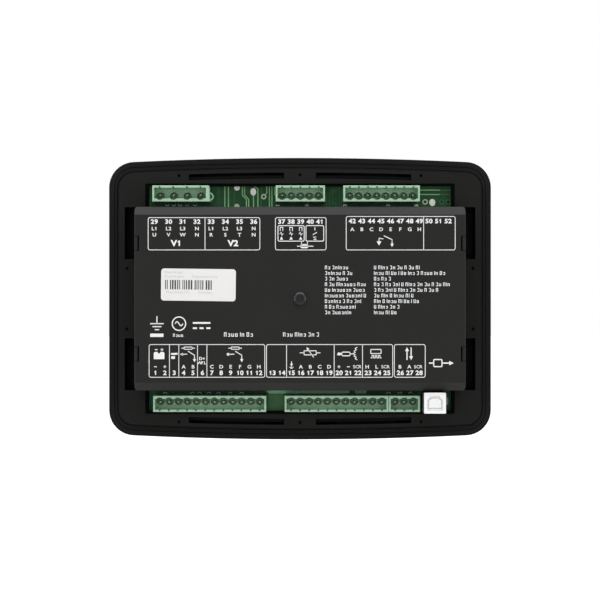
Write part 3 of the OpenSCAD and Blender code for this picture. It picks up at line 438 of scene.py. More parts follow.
finishFamilies = (
    (mouldedPlastic, plasticGrain, plastics), (platedMetal, metalGrain, metals),
    (clearSheet, clearGrain, clears), (printedInk, inkFilm, inks),
    (boardLaminate, {}, {"board_green": laminate}), (faciaFilm, {}, {"facia_film": film}),
    (displayGlass, {}, {"display_glass": glass}), (labelPaper, {}, {"label_paper": paper}),
)
finishes = {}
for maker, shared, looks in finishFamilies:
    for name, look in looks.items():
        finishes[name] = maker(name, {**shared, **look})

for node in nodes.values():
    slotName = node.data.materials[0].name.split(".")[0]
    node.data.materials[0] = finishes[slotName]
nodes["usb_shield"].data.materials[0] = finishes["shieldTin"]  # duller than the other sheet metal
print("finishes made,", len(finishes))


def addPiece(name, mesh, finishNames, body="housing"):
    # turns a finished bmesh into a piece that rides on a body
    bmesh.ops.recalc_face_normals(mesh, faces=mesh.faces)
    data = bpy.data.meshes.new(name)
    mesh.to_mesh(data)
    mesh.free()
    for finishName in finishNames:
        data.materials.append(finishes[finishName])
    made = bpy.data.objects.new(name, data)
    scene.collection.objects.link(made)
    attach(made, body)
    return made


def arc(u, v, radius, start, end, steps=8):
    # points on a circle, angles in degrees
    turns = [math.radians(start + (end - start) * i / steps) for i in range(steps + 1)]
    return [(u + radius * math.cos(turn), v + radius * math.sin(turn)) for turn in turns]


def circle(u, v, radius, around=24):
    return arc(u, v, radius, 0, 360, around)[:-1]


def rectangle(left, low, right, high):
    return [(left, low), (right, low), (right, high), (left, high)]


def roundedBox(left, low, right, high, radius):
    corners = [(right, high, 0), (left, high, 90), (left, low, 180), (right, low, 270)]
    points = []
    for u, v, start in corners:
        du = -radius if u == right else radius
        dv = -radius if v == high else radius
        points += arc(u + du, v + dv, radius, start, start + 90, 4)
    return points


def sineWave(left, v, step, height):
    # one full wave in twelve steps
    return [(left + step * i, v + height * math.sin(math.radians(30 * i))) for i in range(13)]


def finer(points, closed, step=1.0):
    # more points along a stroke, so that it follows a domed face
    ends = points[1:] + points[:1] if closed else points[1:]
    dense = []
    for (u0, v0), (u1, v1) in zip(points, ends):
        parts = max(1, math.ceil(math.hypot(u1 - u0, v1 - v0) / step))
        dense += [(u0 + (u1 - u0) * i / parts, v0 + (v1 - v0) * i / parts) for i in range(parts)]
    return dense if closed else dense + points[-1:]


class Marks:
    # flat marks on one face, in millimetres, gathered into one thin solid piece
    capShare = 0.682  # capital height of the built-in lettering at size 1
    letterStretch = 1.12
    mitreLimit = 0.5
    flaggedOne = ((0.16, -0.50), (0.16, 0.50), (0.02, 0.50), (-0.26, 0.27), (-0.26, 0.07), (-0.08, 0.17),
                  (-0.08, -0.50))
    plusReach = 0.42
    plusLine = 0.24
    letterKinds = ("arch", "box", "post", "cup", "arch", "hook", "hook")
    lowerCase = 0.74  # this and the next three are shares of the capital height
    letterWide = 0.50
    letterGap = 0.36
    wordGap = 0.30

    def __init__(self, level, side=-1, lift=0.03, middle=(0, 0), lean=0.0, dome=0.0, scale=1.0, sink=0.01):
        self.level = level
        self.side = side  # -1 on a rear face, 1 on a front face
        self.lift = lift
        self.middle = Vector(middle)
        self.lean = math.radians(lean)
        self.dome = dome
        self.scale = scale
        self.sink = sink
        self.mesh = bmesh.new()

    def corner(self, u, v, raised):
        u, v = u * self.scale, v * self.scale
        across = u * math.cos(self.lean) - v * math.sin(self.lean)
        up = u * math.sin(self.lean) + v * math.cos(self.lean)
        drop = (u * u + v * v) / (2 * self.dome) if self.dome else 0.0
        height = self.lift if raised else -self.sink
        x = self.middle.x - self.side * across
        y = self.level + self.side * (height - drop)
        return self.mesh.verts.new((x * mm, y * mm, (self.middle.y + up) * mm))

    def fill(self, outline):
        top = [self.corner(u, v, True) for u, v in outline]
        base = [self.corner(u, v, False) for u, v in outline]
        self.mesh.faces.new(top)
        self.mesh.faces.new(base[::-1])
        for i in range(len(top)):
            self.mesh.faces.new((top[i - 1], base[i - 1], base[i], top[i]))

    def stroke(self, points, width, closed=False):
        if self.dome:
            points = finer(points, closed)
        spots = [Vector(point) for point in points]
        count = len(spots)
        rows = []
        for i, spot in enumerate(spots):
            aheads = []
            if closed or i:
                aheads.append((spot - spots[i - 1]).normalized())
            if closed or i < count - 1:
                aheads.append((spots[(i + 1) % count] - spot).normalized())
            ahead = sum(aheads, Vector((0, 0))).normalized()
            reach = width / 2 / max(self.mitreLimit, ahead.dot(aheads[0]))
            out = Vector((-ahead.y, ahead.x)) * reach
            edges = (spot + out, spot - out)
            rows.append([self.corner(*edge, raised) for edge in edges for raised in (True, False)])
        last = count if closed else count - 1
        for i in range(last):
            a, b = rows[i], rows[(i + 1) % count]
            for first, second in ((0, 2), (2, 3), (3, 1), (1, 0)):
                self.mesh.faces.new((a[first], a[second], b[second], b[first]))
        if not closed:
            for row in (rows[0], rows[-1]):
                self.mesh.faces.new((row[0], row[2], row[3], row[1]))

    def strokes(self, width, *paths):
        for path in paths:
            self.stroke(path, width)

    def disc(self, u, v, radius, tall=1.0):
        self.fill([(u + x, v + y * tall) for x, y in circle(0, 0, radius)])

    def ring(self, u, v, radius, width):
        self.stroke(circle(u, v, radius), width, True)

    def arrow(self, tail, tip, width, head):
        # a shaft with a solid head
        tail, tip = Vector(tail), Vector(tip)
        along = (tip - tail).normalized()
        out = Vector((-along.y, along.x)) * head / 2
        neck = tip - along * head
        self.stroke([tuple(tail), tuple(neck)], width)
        self.fill([tuple(neck + out), tuple(neck - out), tuple(tip)])

    def letter(self, text, u, v, cap, bold):
        letters = bpy.data.curves.new("letters", "FONT")
        letters.body = text
        letters.align_x = "CENTER"
        letters.size = cap / self.capShare
        letters.offset = bold * letters.size
        letters.resolution_u = 3
        letters.extrude = 0.1
        shown = bpy.data.objects.new("letters", letters)
        flat = bpy.data.meshes.new_from_object(shown)
        spots = []
        for point in flat.vertices:
            x, y, z = point.co
            spots.append(self.corner(u + x * self.letterStretch, v - cap / 2 + y, z > 0))
        for face in flat.polygons:
            self.mesh.faces.new([spots[i] for i in face.vertices])
        bpy.data.objects.remove(shown)
        bpy.data.curves.remove(letters)
        bpy.data.meshes.remove(flat)

    def signs(self, text, u, v, cap, bold=0.034, pitch=0.88):
        # letters and digits on an even pitch, with a flagged one
        for i, sign in enumerate(text):
            place = u + (i - (len(text) - 1) / 2) * pitch * cap
            reach = self.plusReach * cap
            if sign == "1":
                self.fill([(place + x * cap, v + y * cap) for x, y in self.flaggedOne])
            elif sign in "+-":
                self.stroke([(place - reach, v), (place + reach, v)], self.plusLine * cap)
                if sign == "+":
                    self.stroke([(place, v - reach), (place, v + reach)], self.plusLine * cap)
            else:
                self.letter(sign, place, v, cap, bold)

    def wordBlocks(self, left, v, width, cap, wordLengths, weight=0.175, seed=0):
        # a row of letter-like strokes grouped in words, from left to left + width
        line = weight * cap
        low = v - cap / 2
        foot = low + line / 2
        u = left
        letter = seed * 2
        word = seed
        while u < left + width - self.wordGap * cap:
            for i in range(wordLengths[word % len(wordLengths)]):
                kind = self.letterKinds[(letter * 5 + word * 3) % len(self.letterKinds)]
                high = low + cap * (1.0 if i == 0 or kind == "post" else self.lowerCase)
                wide = 0.0 if kind == "post" else self.letterWide * cap
                if u + wide > left + width:
                    break
                near, far, head = u + line / 2, u + wide, high - line / 2
                shapes = {
                    "post": [(near, low), (near, high)],
                    "box": rectangle(near, foot, far, head),
                    "hook": rectangle(near, foot, far, head),  # a box without its left side
                    "cup": [(near, high), (near, foot), (far, foot), (far, high)],
                    "arch": [(near, low), (near, head), (far, head), (far, low)],
                }
                self.stroke(shapes[kind], line, kind == "box")
                u += wide + self.letterGap * cap
                letter += 1
            u += self.wordGap * cap
            word += 1

    def piece(self, name, ink, slotName, body="housing"):
        return addPiece(name, self.mesh, [ink], body)


coverLow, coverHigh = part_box("rear_cover")
coverFace = coverLow.y / mm
coverWidth = (coverHigh.x - coverLow.x) / mm
coverPlan = {"artWidth": 177.6, "radius": 1.0, "screenShift": 0.4,
             "circuits": (("V1", -66.13, 29.72), ("V2", -35.71, 29.72))}
coverLines = {"frame": 0.36, "thin": 0.36, "pulse": 0.40, "plain": 0.42, "strong": 0.45, "bold": 0.50,
              "earth": 0.55, "ring": 0.60, "port": 0.70, "bar": 0.95}
coverSigns = {
    "number": {"cap": 2.25}, "letter": {"cap": 1.8, "bold": 0.022},
    "screen": {"cap": 1.65, "bold": 0.008, "pitch": 0.95},
    "name": {"cap": 3.0, "bold": 0.04, "pitch": 0.92},
    "charger": {"cap": 1.5, "bold": 0.035, "pitch": 1.1},
    "warning": {"cap": 1.5, "bold": 0.035, "pitch": 0.95},
}
# frame is left, low, right, high; numbers are first, last and start; letters are text, start and height
terminalGroups = {
    "mains": {"frame": (-81.3, 26.1, -21.5, 43.4), "dividers": (-50.87,), "pitch": 7.60, "numbersAt": 41.25,
              "numbers": ((29, 36, -78.0),),
              "letters": ((("L1", "L2", "L3", "N") * 2, -78.0, 37.54), ("UVWNRSTN", -78.0, 34.22))},
    "currents": {"frame": (-13.17, 26.1, 13.97, 43.4), "dividers": (), "pitch": 5.13, "numbersAt": 41.25,
                 "numbers": ((37, 41, -9.9),), "letters": ()},
    "inputs": {"frame": (24.74, 26.1, 83.1, 44.0), "dividers": (66.2,), "pitch": 5.13, "numbersAt": 41.55,
               "numbers": ((42, 52, 28.0),), "letters": (("ABCDEFGH", 28.0, 37.14),)},
    "supply": {"frame": (-80.8, -42.1, -18.85, -24.57), "dividers": (-69.9, -64.9, -54.9, -49.85),
               "pitch": 5.03, "numbersAt": -39.7, "numbers": ((1, 12, -77.4),),
               "letters": (("-+ AB CDEFGH", -77.4, -36.46),)},
    "links": {"frame": (-17.94, -42.1, 49.64, -24.57), "dividers": (-7.2, 18.3, 33.46), "pitch": 5.03,
              "numbersAt": -39.7,
              "numbers": ((13, 14, -14.8), (15, 19, -4.54), (20, 22, 20.97), (23, 25, 36.5)),
              "letters": (("ABCD", 0.45, -36.46), (("+", "-", "SCR"), 20.85, -36.46),
                          (("H", "L", "SCR"), 35.96, -36.46))},
    "bus": {"frame": (50.5, -42.1, 67.05, -24.57), "dividers": (), "pitch": 5.03, "numbersAt": -39.7,
            "numbers": ((26, 28, 53.75),), "letters": ((("B", "A", "SCR"), 53.5, -36.46),)},
}


def terminalGroup(marks, group):
    # frame, dividers, numbers and letters of one header
    low, high = group["frame"][1::2]
    marks.stroke(roundedBox(*group["frame"], coverPlan["radius"]), coverLines["frame"], True)
    for u in group["dividers"]:
        marks.stroke([(u, low), (u, high)], coverLines["frame"])
    for first, last, start in group["numbers"]:
        for i in range(last - first + 1):
            u = start + i * group["pitch"]
            marks.signs(str(first + i), u, group["numbersAt"], **coverSigns["number"])
    for letters, start, v in group["letters"]:
        for i, letter in enumerate(letters):
            u = start + i * group["pitch"]
            if len(letter) == 3:  # screen terminals
                marks.signs(letter, u - coverPlan["screenShift"], v, **coverSigns["screen"])
            elif letter != " ":
                marks.signs(letter, u, v, **coverSigns["letter"])


def fuseSymbol(marks, u, v):
    marks.strokes(coverLines["strong"], [(u - 3.6, v), (u - 2.2, v)], [(u + 2.2, v), (u + 3.6, v)])
    marks.stroke(roundedBox(u - 2.2, v - 0.6, u + 2.2, v + 0.6, 0.4), coverLines["plain"], True)


def switchSymbol(marks, u, v):
    # fixed contact on the left, lifted blade and an arrow down to the terminal
    blade = [(u + 0.2, v + 1.7), (u + 3.7, v - 0.5), (u + 3.7, v - 1.2)]
    marks.strokes(coverLines["strong"], [(u - 3.4, v), (u - 0.2, v + 0.1)], blade)
    marks.arrow((u + 3.7, v - 0.9), (u + 3.7, v - 4.3), coverLines["bold"], 1.7)


def crossBars(marks, u, bars, width):
    # level bars of an earth sign, each with half its length and its height
    for reach, v in bars:
        marks.stroke([(u - reach, v), (u + reach, v)], width)


def currentSymbols(marks):
    # windings of the current inputs and the leakage input, in two boxes joined by a coil
    thin, plain = coverLines["thin"], coverLines["plain"]
    marks.stroke(roundedBox(-11.78, 30.8, 2.25, 39.1, 0.7), plain, True)
    marks.stroke(roundedBox(3.21, 30.8, 12.69, 39.1, 0.7), plain, True)
    for u in (-9.9, -4.77, 0.36):
        marks.strokes(thin, [(u - 0.7, 36.2), (u - 0.7, 38.2), (u + 0.7, 38.2), (u + 0.7, 36.2)],
                      [(u - 0.9, 34.6), (u - 0.2, 35.5), (u + 0.2, 34.0), (u + 0.9, 34.9)])
        marks.fill([(u - 0.9, 31.6), (u + 0.9, 31.6), (u, 33.3)])
    marks.strokes(plain, [(7.95, 36.6), (7.95, 38.2)], [(6.9, 34.2), (9.0, 35.5)],
                  [(-1.6, 28.1), (7.2, 28.1)])
    marks.stroke([(7.2, 31.6), (8.7, 31.6), (7.2, 33.0), (8.7, 33.0)], thin)
    marks.fill(roundedBox(0.2, 27.0, 4.4, 29.2, 0.8))
    marks.strokes(thin, [(0.8, 28.5), (0.8, 30.8)], [(4.0, 28.5), (4.0, 30.8)])


def inputSymbols(marks):
    # contact with an arrow on either side
    marks.strokes(coverLines["strong"], [(42.2, 32.4), (44.6, 32.0)], [(42.3, 32.4), (42.3, 30.8)],
                  [(44.9, 33.7), (49.3, 31.6), (49.3, 30.6)])
    marks.fill([(41.0, 30.7), (43.6, 30.7), (42.3, 28.5)])
    marks.arrow((49.3, 31.2), (49.3, 27.6), coverLines["bold"], 1.8)


def supplySymbols(marks):
    # battery
    marks.fill([(-78.3, -32.4), (-72.6, -32.4), (-72.6, -29.0), (-73.4, -28.5), (-74.6, -28.5),
                (-75.2, -29.4), (-75.8, -29.4), (-76.4, -28.5), (-77.6, -28.5), (-78.3, -29.0)])
    marks.strokes(coverLines["bold"], [(-77.7, -27.3), (-76.3, -27.3)], [(-74.6, -27.3), (-73.2, -27.3)],
                  [(-73.9, -26.6), (-73.9, -28.0)])
    # stop button under its hand
    marks.fill([(-69.2, -29.2), (-65.5, -29.0), (-65.5, -29.9), (-67.2, -30.2), (-69.2, -30.0)])
    marks.fill(roundedBox(-69.0, -32.3, -66.9, -30.8, 0.4))
    # fused outputs and the charger lamp
    fuseSymbol(marks, -59.9, -26.5)
    switchSymbol(marks, -60.2, -29.8)
    marks.fill([(-64.4, -29.8), (-62.7, -29.0), (-62.7, -30.6)])
    marks.signs("D+", -52.35, -32.06, **coverSigns["charger"])
    marks.signs("W/L", -52.35, -34.36, **coverSigns["warning"])
    fuseSymbol(marks, -34.7, -26.5)
    switchSymbol(marks, -34.9, -29.8)
    marks.disc(-38.5, -29.8, 0.75)


def linkSymbols(marks):
    thin, plain, strong = coverLines["thin"], coverLines["plain"], coverLines["strong"]
    # sender earth and a variable resistor
    marks.arrow((-4.54, -33.6), (-4.54, -36.4), strong, 1.5)
    crossBars(marks, -4.54, ((1.1, -36.7), (0.6, -37.3)), thin)
    marks.stroke(roundedBox(2.2, -30.1, 8.7, -27.9, 0.2), strong, True)
    marks.strokes(plain, [(-0.1, -29.0), (2.2, -29.0)], [(8.7, -29.0), (10.9, -29.0)])
    marks.arrow((7.3, -31.5), (3.5, -26.0), plain, 1.6)
    # speed pickup in front of the ring gear
    marks.fill([(19.8, -30.2), (20.4, -28.8), (21.8, -29.0), (22.3, -29.6), (21.4, -30.4)])
    marks.stroke(roundedBox(22.3, -30.6, 26.9, -28.6, 0.9), coverLines["bold"], True)
    marks.stroke([(26.9, -29.6), (28.3, -29.6)], strong)
    teeth = [(29.3 - 0.9 * (i % 2) + 0.28 * abs(i - 5), -26.0 - 0.68 * i) for i in range(11)]
    marks.stroke(teeth, plain)
    # engine data link
    marks.stroke(roundedBox(37.9, -29.4, 43.4, -27.2, 0.3), strong, True)
    pulses = [(37.8, -31.7)]
    for i in range(3):
        rise = 38.6 + 1.7 * i
        pulses += [(rise, -31.7), (rise, -30.4), (rise + 0.85, -30.4), (rise + 0.85, -31.7)]
    marks.stroke(pulses + [(43.6, -31.7)], coverLines["pulse"])


def busSymbols(marks):
    marks.arrow((57.3, -32.8), (57.3, -26.0), coverLines["ring"], 2.1)
    marks.arrow((59.5, -26.1), (59.5, -32.9), coverLines["ring"], 2.1)


ratingPlan = {
    "names": (13.4, 14.5, 12.9, 22.0, 22.0, 22.0, 20.3, 17.1, 15.5), "namesLeft": 13.33,
    "values": (25.2, 39.6, 10.2, 41.2, 34.8, 21.4, 25.2, 14.5, 13.4), "valuesLeft": 39.62,
    "top": 16.71, "rowPitch": 3.009, "cap": 1.93, "shortNames": 3, "valueSeed": 4,
    "shortWords": (2, 6, 1), "longWords": (2, 7, 6, 1), "valueWords": (2, 1, 2, 3, 1, 4, 2),
    "below": ((-40.7, -19.2, 15.5, 2.3, (4, 2, 2)), (-9.1, -19.2, 19.3, 2.2, (3, 4, 2, 2))),
}


def ratingRows(marks):
    # left column with names, right column with values, and two rows below
    plan = ratingPlan
    for i, (nameWidth, valueWidth) in enumerate(zip(plan["names"], plan["values"])):
        v = plan["top"] - plan["rowPitch"] * i
        words = plan["shortWords"] if i < plan["shortNames"] else plan["longWords"]
        marks.wordBlocks(plan["namesLeft"], v, nameWidth, plan["cap"], words, seed=i)
        marks.wordBlocks(plan["valuesLeft"], v, valueWidth, plan["cap"], plan["valueWords"],
                         seed=i + plan["valueSeed"])
    for row in plan["below"]:
        marks.wordBlocks(*row)


def supplySigns(marks):
    # plain electrical signs: earth, alternating and direct supply
    marks.stroke([(-76.6, -9.4), (-76.6, -13.4)], coverLines["earth"])
    crossBars(marks, -76.6, ((3.6, -13.4), (2.4, -15.0), (1.2, -16.6)), coverLines["earth"])
    marks.fill(roundedBox(-80.2, -20.5, -73.1, -18.7, 0.15))
    marks.ring(-64.8, -13.4, 3.6, coverLines["ring"])
    marks.stroke(sineWave(-66.9, -13.4, 0.35, 1.1), coverLines["earth"])
    marks.wordBlocks(-68.0, -19.6, 6.6, 1.7, (5,))
    marks.stroke([(-57.4, -13.0), (-48.0, -13.0)], coverLines["bar"])
    for left in (-57.4, -53.8, -50.2):
        marks.stroke([(left, -15.8), (left + 2.2, -15.8)], coverLines["bar"])


def portSign(marks):
    # a plug outline with an arrow
    marks.stroke(roundedBox(71.6, -36.4, 76.0, -32.6, 0.5), coverLines["ring"], True)
    marks.arrow((76.3, -34.5), (82.3, -34.5), coverLines["port"], 2.4)
    marks.stroke([(69.1, -34.5), (71.4, -34.5)], coverLines["port"])


def coverPrint():
    marks = Marks(coverFace, scale=coverWidth / coverPlan["artWidth"])
    for group in terminalGroups.values():
        terminalGroup(marks, group)
    for circuit in coverPlan["circuits"]:
        marks.signs(*circuit, **coverSigns["name"])
    currentSymbols(marks)
    inputSymbols(marks)
    supplySymbols(marks)
    linkSymbols(marks)
    busSymbols(marks)
    ratingRows(marks)
    supplySigns(marks)
    portSign(marks)
    marks.piece("coverPrint", "whiteInk", "label_paper")


coverPrint()
print("cover print made")

stickerPlan = {
    "middle": (-55.35, 7.5), "lean": -0.7, "lift": 0.02,
    "barsLeft": -18.2, "barsRight": 7.3, "barsLow": -2.6, "barsHigh": 2.55,
    "barWidths": (0.48, 0.48, 0.85, 0.48, 0.62, 0.48, 0.75), "barGaps": (0.52, 0.46, 0.62, 1.25, 0.50),
    "rowCap": 1.25, "rowWeight": 0.16, "rowWords": (4, 6, 5),
    "rows": ((6.75, -18.2, 9.2), (4.5, -18.2, 11.4), (4.5, -3.5, 14.7), (-4.1, -17.6, 13.0),
             (-4.1, 0.3, 7.7)),  # height, left end, width
}


def stickerMarks():
    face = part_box("serial_label")[0].y / mm
    plan = stickerPlan
    return Marks(face, middle=plan["middle"], lean=plan["lean"], lift=plan["lift"])


def stickerPrint():
    plan = stickerPlan
    bars = stickerMarks()
    left = plan["barsLeft"]
    count = 0
    while left < plan["barsRight"]:
        right = left + plan["barWidths"][count * count % len(plan["barWidths"])]
        bars.fill(rectangle(left, plan["barsLow"], right, plan["barsHigh"]))
        left = right + plan["barGaps"][count * 3 % len(plan["barGaps"])]
        count += 1
    bars.piece("stickerBars", "darkInk", "label_paper")
    rows = stickerMarks()
    for v, start, width in plan["rows"]:
        rows.wordBlocks(start, v, width, plan["rowCap"], plan["rowWords"], plan["rowWeight"])
    rows.piece("stickerRows", "paleGreyInk", "label_paper")


stickerPrint()
print("sticker print made")

headerPoles = {"01_12": 12, "15_25": 11, "26_28": 3, "29_32": 4, "37_41": 5, "42_49": 8}
notchPlan = {"halfWide": 0.50, "halfTall": 0.42, "inset": 0.80, "round": 0.3}


def headerNotchShades():
    # one dark mark for each pole along the outer rim of every header: painted shade of the notch
    plan = notchPlan
    notches = Marks(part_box("header_01_12")[0].y / mm)
    for name, poles in headerPoles.items():
        low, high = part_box("header_" + name)
        pinLow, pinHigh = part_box("header_" + name + "_pins")
        half = (pinHigh.z - pinLow.z) / 2 / mm
        first = pinLow.x / mm + half
        pitch = (pinHigh.x / mm - half - first) / (poles - 1)
        v = high.z / mm - plan["inset"] if low.z > 0 else low.z / mm + plan["inset"]
        for i in range(poles):
            u = first + i * pitch
            notches.fill(roundedBox(u - plan["halfWide"], v - plan["halfTall"], u + plan["halfWide"],
                                    v + plan["halfTall"], plan["round"]))
    notches.piece("headerNotchShades", "notchGreen", "header_green")


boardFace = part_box("main_board")[0].y / mm
boardPlan = {
    "trace": 0.62, "fine": 0.34, "low": 48.6, "high": 64.7,
    "straight": (-41.90, -39.93, -17.06, -15.67),
    "jogs": ((-32.12, -29.89, 57.7), (-30.89, -28.61, 57.9)), "jogFoot": 55.4,
    "levels": (60.55, 58.1), "levelLeft": 66.3, "levelFade": 78.0, "levelRight": 84.1, "topLevel": 62.4,
    "leftRun": -83.4, "brightLift": 0.04, "dimLift": 0.03, "padLift": 0.06, "ringLift": 0.05,
    "faint": (22.0, 23.0, -45.6, -36.6, -21.6), "slanted": (14.9, 16.5, 18.1),
    "lowerFaint": (-70.6, -52.4, -40.0, -24.8, 29.2, 54.0),
    "holes": ((79.0, 53.97), (82.7, 53.87), (19.1, 52.0)), "holeRadius": 1.15, "holeLine": 0.45,
}


def boardTraces():
    # copper runs under the mask, in the upper terminal window
    plan = boardPlan
    low, high = plan["low"], plan["high"]
    bright = Marks(boardFace, lift=plan["brightLift"])
    for u in plan["straight"]:
        bright.stroke([(u, low), (u, high)], plan["trace"])
    for start, end, jog in plan["jogs"]:
        bright.stroke([(start, high), (start, jog), (end, plan["jogFoot"]), (end, low)], plan["trace"])
    bright.strokes(plan["trace"], [(-25.93, 59.0), (-25.93, low)],
                   [(-25.1, high), (-25.1, 62.4), (-23.48, 61.2), (-23.48, low)],
                   [(-18.57, high), (-18.57, 59.0), (-19.5, 57.9)],
                   [(-14.05, high), (-14.05, 57.8), (-12.6, 56.5)])
    for v in plan["levels"]:
        bright.stroke([(plan["levelLeft"], v), (plan["levelFade"], v)], plan["trace"])
    bright.piece("boardTraces", "traceGreen", "board_green")


def boardDimTraces():
    # runs that show less, in both windows, and the copper field between two lower headers
    plan = boardPlan
    low, high = plan["low"], plan["high"]
    dim = Marks(boardFace, lift=plan["dimLift"])
    for v in plan["levels"]:
        dim.stroke([(plan["levelFade"], v), (plan["levelRight"], v)], plan["trace"])
    v = plan["topLevel"]
    dim.stroke([(plan["levelLeft"], v), (plan["levelRight"], v)], plan["fine"])
    dim.stroke([(plan["leftRun"], low), (plan["leftRun"], high)], plan["trace"])
    for u in plan["slanted"]:
        dim.stroke([(u + 3.6, high), (u + 3.6, 61.4), (u, 57.8), (u, low)], plan["fine"])
    for u in plan["faint"]:
        dim.stroke([(u, low), (u, high)], plan["fine"])
    for u in plan["lowerFaint"]:
        dim.stroke([(u, -low), (u, -56.0), (u + 3.0, -59.0), (u + 3.0, -high)], plan["fine"])
    for u, v in plan["holes"]:
        dim.ring(u, v, plan["holeRadius"], plan["holeLine"])
    dim.fill([(-18.2, -62.4), (-9.0, -62.4), (-9.0, -53.2), (-17.6, -53.2)])
    dim.piece("boardDimTraces", "fieldGreen", "board_green")


# place and radius, then how tall a pad is for its width, or how wide a ring's line is
padPlan = {
    "solder": ((-35.13, 61.94, 1.62, 1.0), (-26.04, 59.6, 1.59, 1.34), (73.78, 53.63, 1.67, 1.2)),
    "rings": ((-20.19, 56.9, 1.1, 0.9), (69.76, 53.97, 1.2, 0.7)), "filled": (-35.2, 51.4, 1.5),
}


def boardPads():
    tin = Marks(boardFace, lift=boardPlan["padLift"])
    for pad in padPlan["solder"]:
        tin.disc(*pad)
    tin.piece("boardPads", "solderTin", "pin_tin")
    rings = Marks(boardFace, lift=boardPlan["ringLift"])
    for ring in padPlan["rings"]:
        rings.ring(*ring)
    rings.disc(*padPlan["filled"])
    rings.piece("boardRings", "ringTin", "pin_tin")


placement = {
    "line": 0.42, "dash": 0.6, "wedges": (3.9, 25.1, 49.1, 64.75),
    "upperArcs": (-74.0, -70.3, -66.8, -62.95, -58.5),
    "lowerArcs": (-75.3, -60.0, -56.0, -50.7, -45.5, -39.0, -32.5, 49.3, 55.7, 61.6),
}


def boardSigns():
    # placement marks in pale ink
    plan = placement
    ink = Marks(boardFace, lift=boardPlan["dimLift"])
    ink.stroke([(-13.4, 52.0), (-11.3, 52.0)], plan["dash"])
    for u in plan["wedges"]:
        ink.fill([(u - 1.4, 51.5), (u + 1.4, 51.5), (u + 0.8, 52.7), (u - 0.8, 52.7)])
    for u in plan["upperArcs"]:
        ink.stroke(arc(u, 52.9, 1.1, 200, 340, 5), plan["line"])
    for u in plan["lowerArcs"]:
        ink.stroke(arc(u, -53.4, 1.2, 20, 160, 5), plan["line"])
    ink.piece("boardSigns", "boardInk", "label_paper")


def boardStrips():
    # pale strips at the foot of the lower headers
    strips = Marks(boardFace, lift=boardPlan["dimLift"])
    strips.fill([(-17.4, -52.9), (27.6, -52.9), (27.6, -51.0), (-18.9, -51.0)])
    strips.fill(rectangle(30.7, -52.9, 37.0, -51.0))
    strips.piece("boardStrips", "stripGreen", "board_green")


ribPlan = {"tall": 4.3, "round": 0.3, "ends": (-85.7, 84.2), "endWide": 1.5, "endLow": (50.4, -63.75),
           "endLong": 13.35, "reach": 84.2, "edges": ((62.55, 63.75), (-63.75, -62.5))}


def windowShadowRibs():
    # dark ribs at the ends and along the outer edges of the terminal windows, standing on the board:
    # painted shadow of the case walls
    plan = ribPlan
    ribs = Marks(boardFace, lift=plan["tall"])
    for left in plan["ends"]:
        for low in plan["endLow"]:
            ribs.fill(roundedBox(left, low, left + plan["endWide"], low + plan["endLong"], plan["round"]))
    for low, high in plan["edges"]:
        ribs.fill(roundedBox(-plan["reach"], low, plan["reach"], high, plan["round"]))
    ribs.piece("windowShadowRibs", "shadowPlastic", "case_plastic")


headerNotchShades()
boardTraces()
boardDimTraces()
boardPads()
boardSigns()
boardStrips()
windowShadowRibs()
print("board detail made")

usbLow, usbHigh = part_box("usb_socket")
# rim, groove and pad are half width, half height and corner cut
usbPlan = {"floorDrop": 0.50, "faceDrop": 0.06, "deep": 1.4, "rim": (4.14, 3.80, 2.0),
           "groove": (3.80, 3.05, 1.5), "pad": (3.35, 2.60, 1.3)}


def cutCorners(wide, tall, cut):
    # outline of the mouth: two corners cut on the upper side, from the lower left round to the left
    return [(-wide, -tall), (wide, -tall), (wide, tall - cut), (wide - cut, tall), (cut - wide, tall),
            (-wide, tall - cut)]


def usbDustPlug():
    # soft white plug pushed into the mouth: a floor, a rim against the wall and a pad inside a groove
    plan = usbPlan
    middle = ((usbLow.x + usbHigh.x) / 2 / mm, (usbLow.z + usbHigh.z) / 2 / mm)
    plug = Marks(usbLow.y / mm, middle=middle, lift=-plan["floorDrop"], sink=plan["deep"])
    outer = cutCorners(*plan["rim"])
    inner = cutCorners(*plan["groove"])
    plug.fill(outer)
    plug.lift = -plan["faceDrop"]
    for i in range(len(outer)):
        following = (i + 1) % len(outer)
        plug.fill([outer[i], outer[following], inner[following], inner[i]])
    plug.fill(cutCorners(*plan["pad"]))
    plug.piece("usbDustPlug", "plugWhite", "usb_white")


usbDustPlug()
print("dust plug made")

screwLow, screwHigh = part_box("cover_screw")
screwPlan = {"headHigh": 1.3, "recess": 1.95, "recessDeep": 0.9, "shank": 1.35, "around": 48,
             "smooth": 40.0, "highlightFrom": -0.35}


def coverScrewHead():
    # button head turned as fine rings
    plan = screwPlan
    radius = (screwHigh.x - screwLow.x) / 2 / mm
    top = -screwLow.y / mm
    seat = top - plan["headHigh"]
    tip = -screwHigh.y / mm
    profile = [(plan["recess"], top - plan["recessDeep"]), (plan["recess"], top)]
    profile += arc(radius - plan["headHigh"], seat, plan["headHigh"], 90, 0)
    profile += [(plan["shank"], seat), (plan["shank"], tip)]
    mesh = bmesh.new()
    rings = []
    for reach, depth in profile:
        spots = circle(0, 0, reach, plan["around"])
        rings.append([mesh.verts.new((x * mm, -depth * mm, z * mm)) for x, z in spots])
    for row, (inner, outer) in enumerate(zip(rings, rings[1:])):
        for i in range(plan["around"]):
            strip = mesh.faces.new((inner[i - 1], inner[i], outer[i], outer[i - 1]))
            upward = math.sin(math.tau * (i - 0.5) / plan["around"])
            # the upper side of the rounding takes the glossier copy of the finish, a painted highlight
            strip.material_index = 1 if row > 1 and upward > plan["highlightFrom"] else 0
    mesh.faces.new(rings[0])
    mesh.faces.new(rings[-1])
    head = addPiece("coverScrewHead", mesh, ["screw_black", "screwRim"])
    head.data.shade_smooth()
    head.data.set_sharp_from_angle(angle=math.radians(plan["smooth"]))
    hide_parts("cover_screw")


coverScrewHead()
print("cover screw turned")

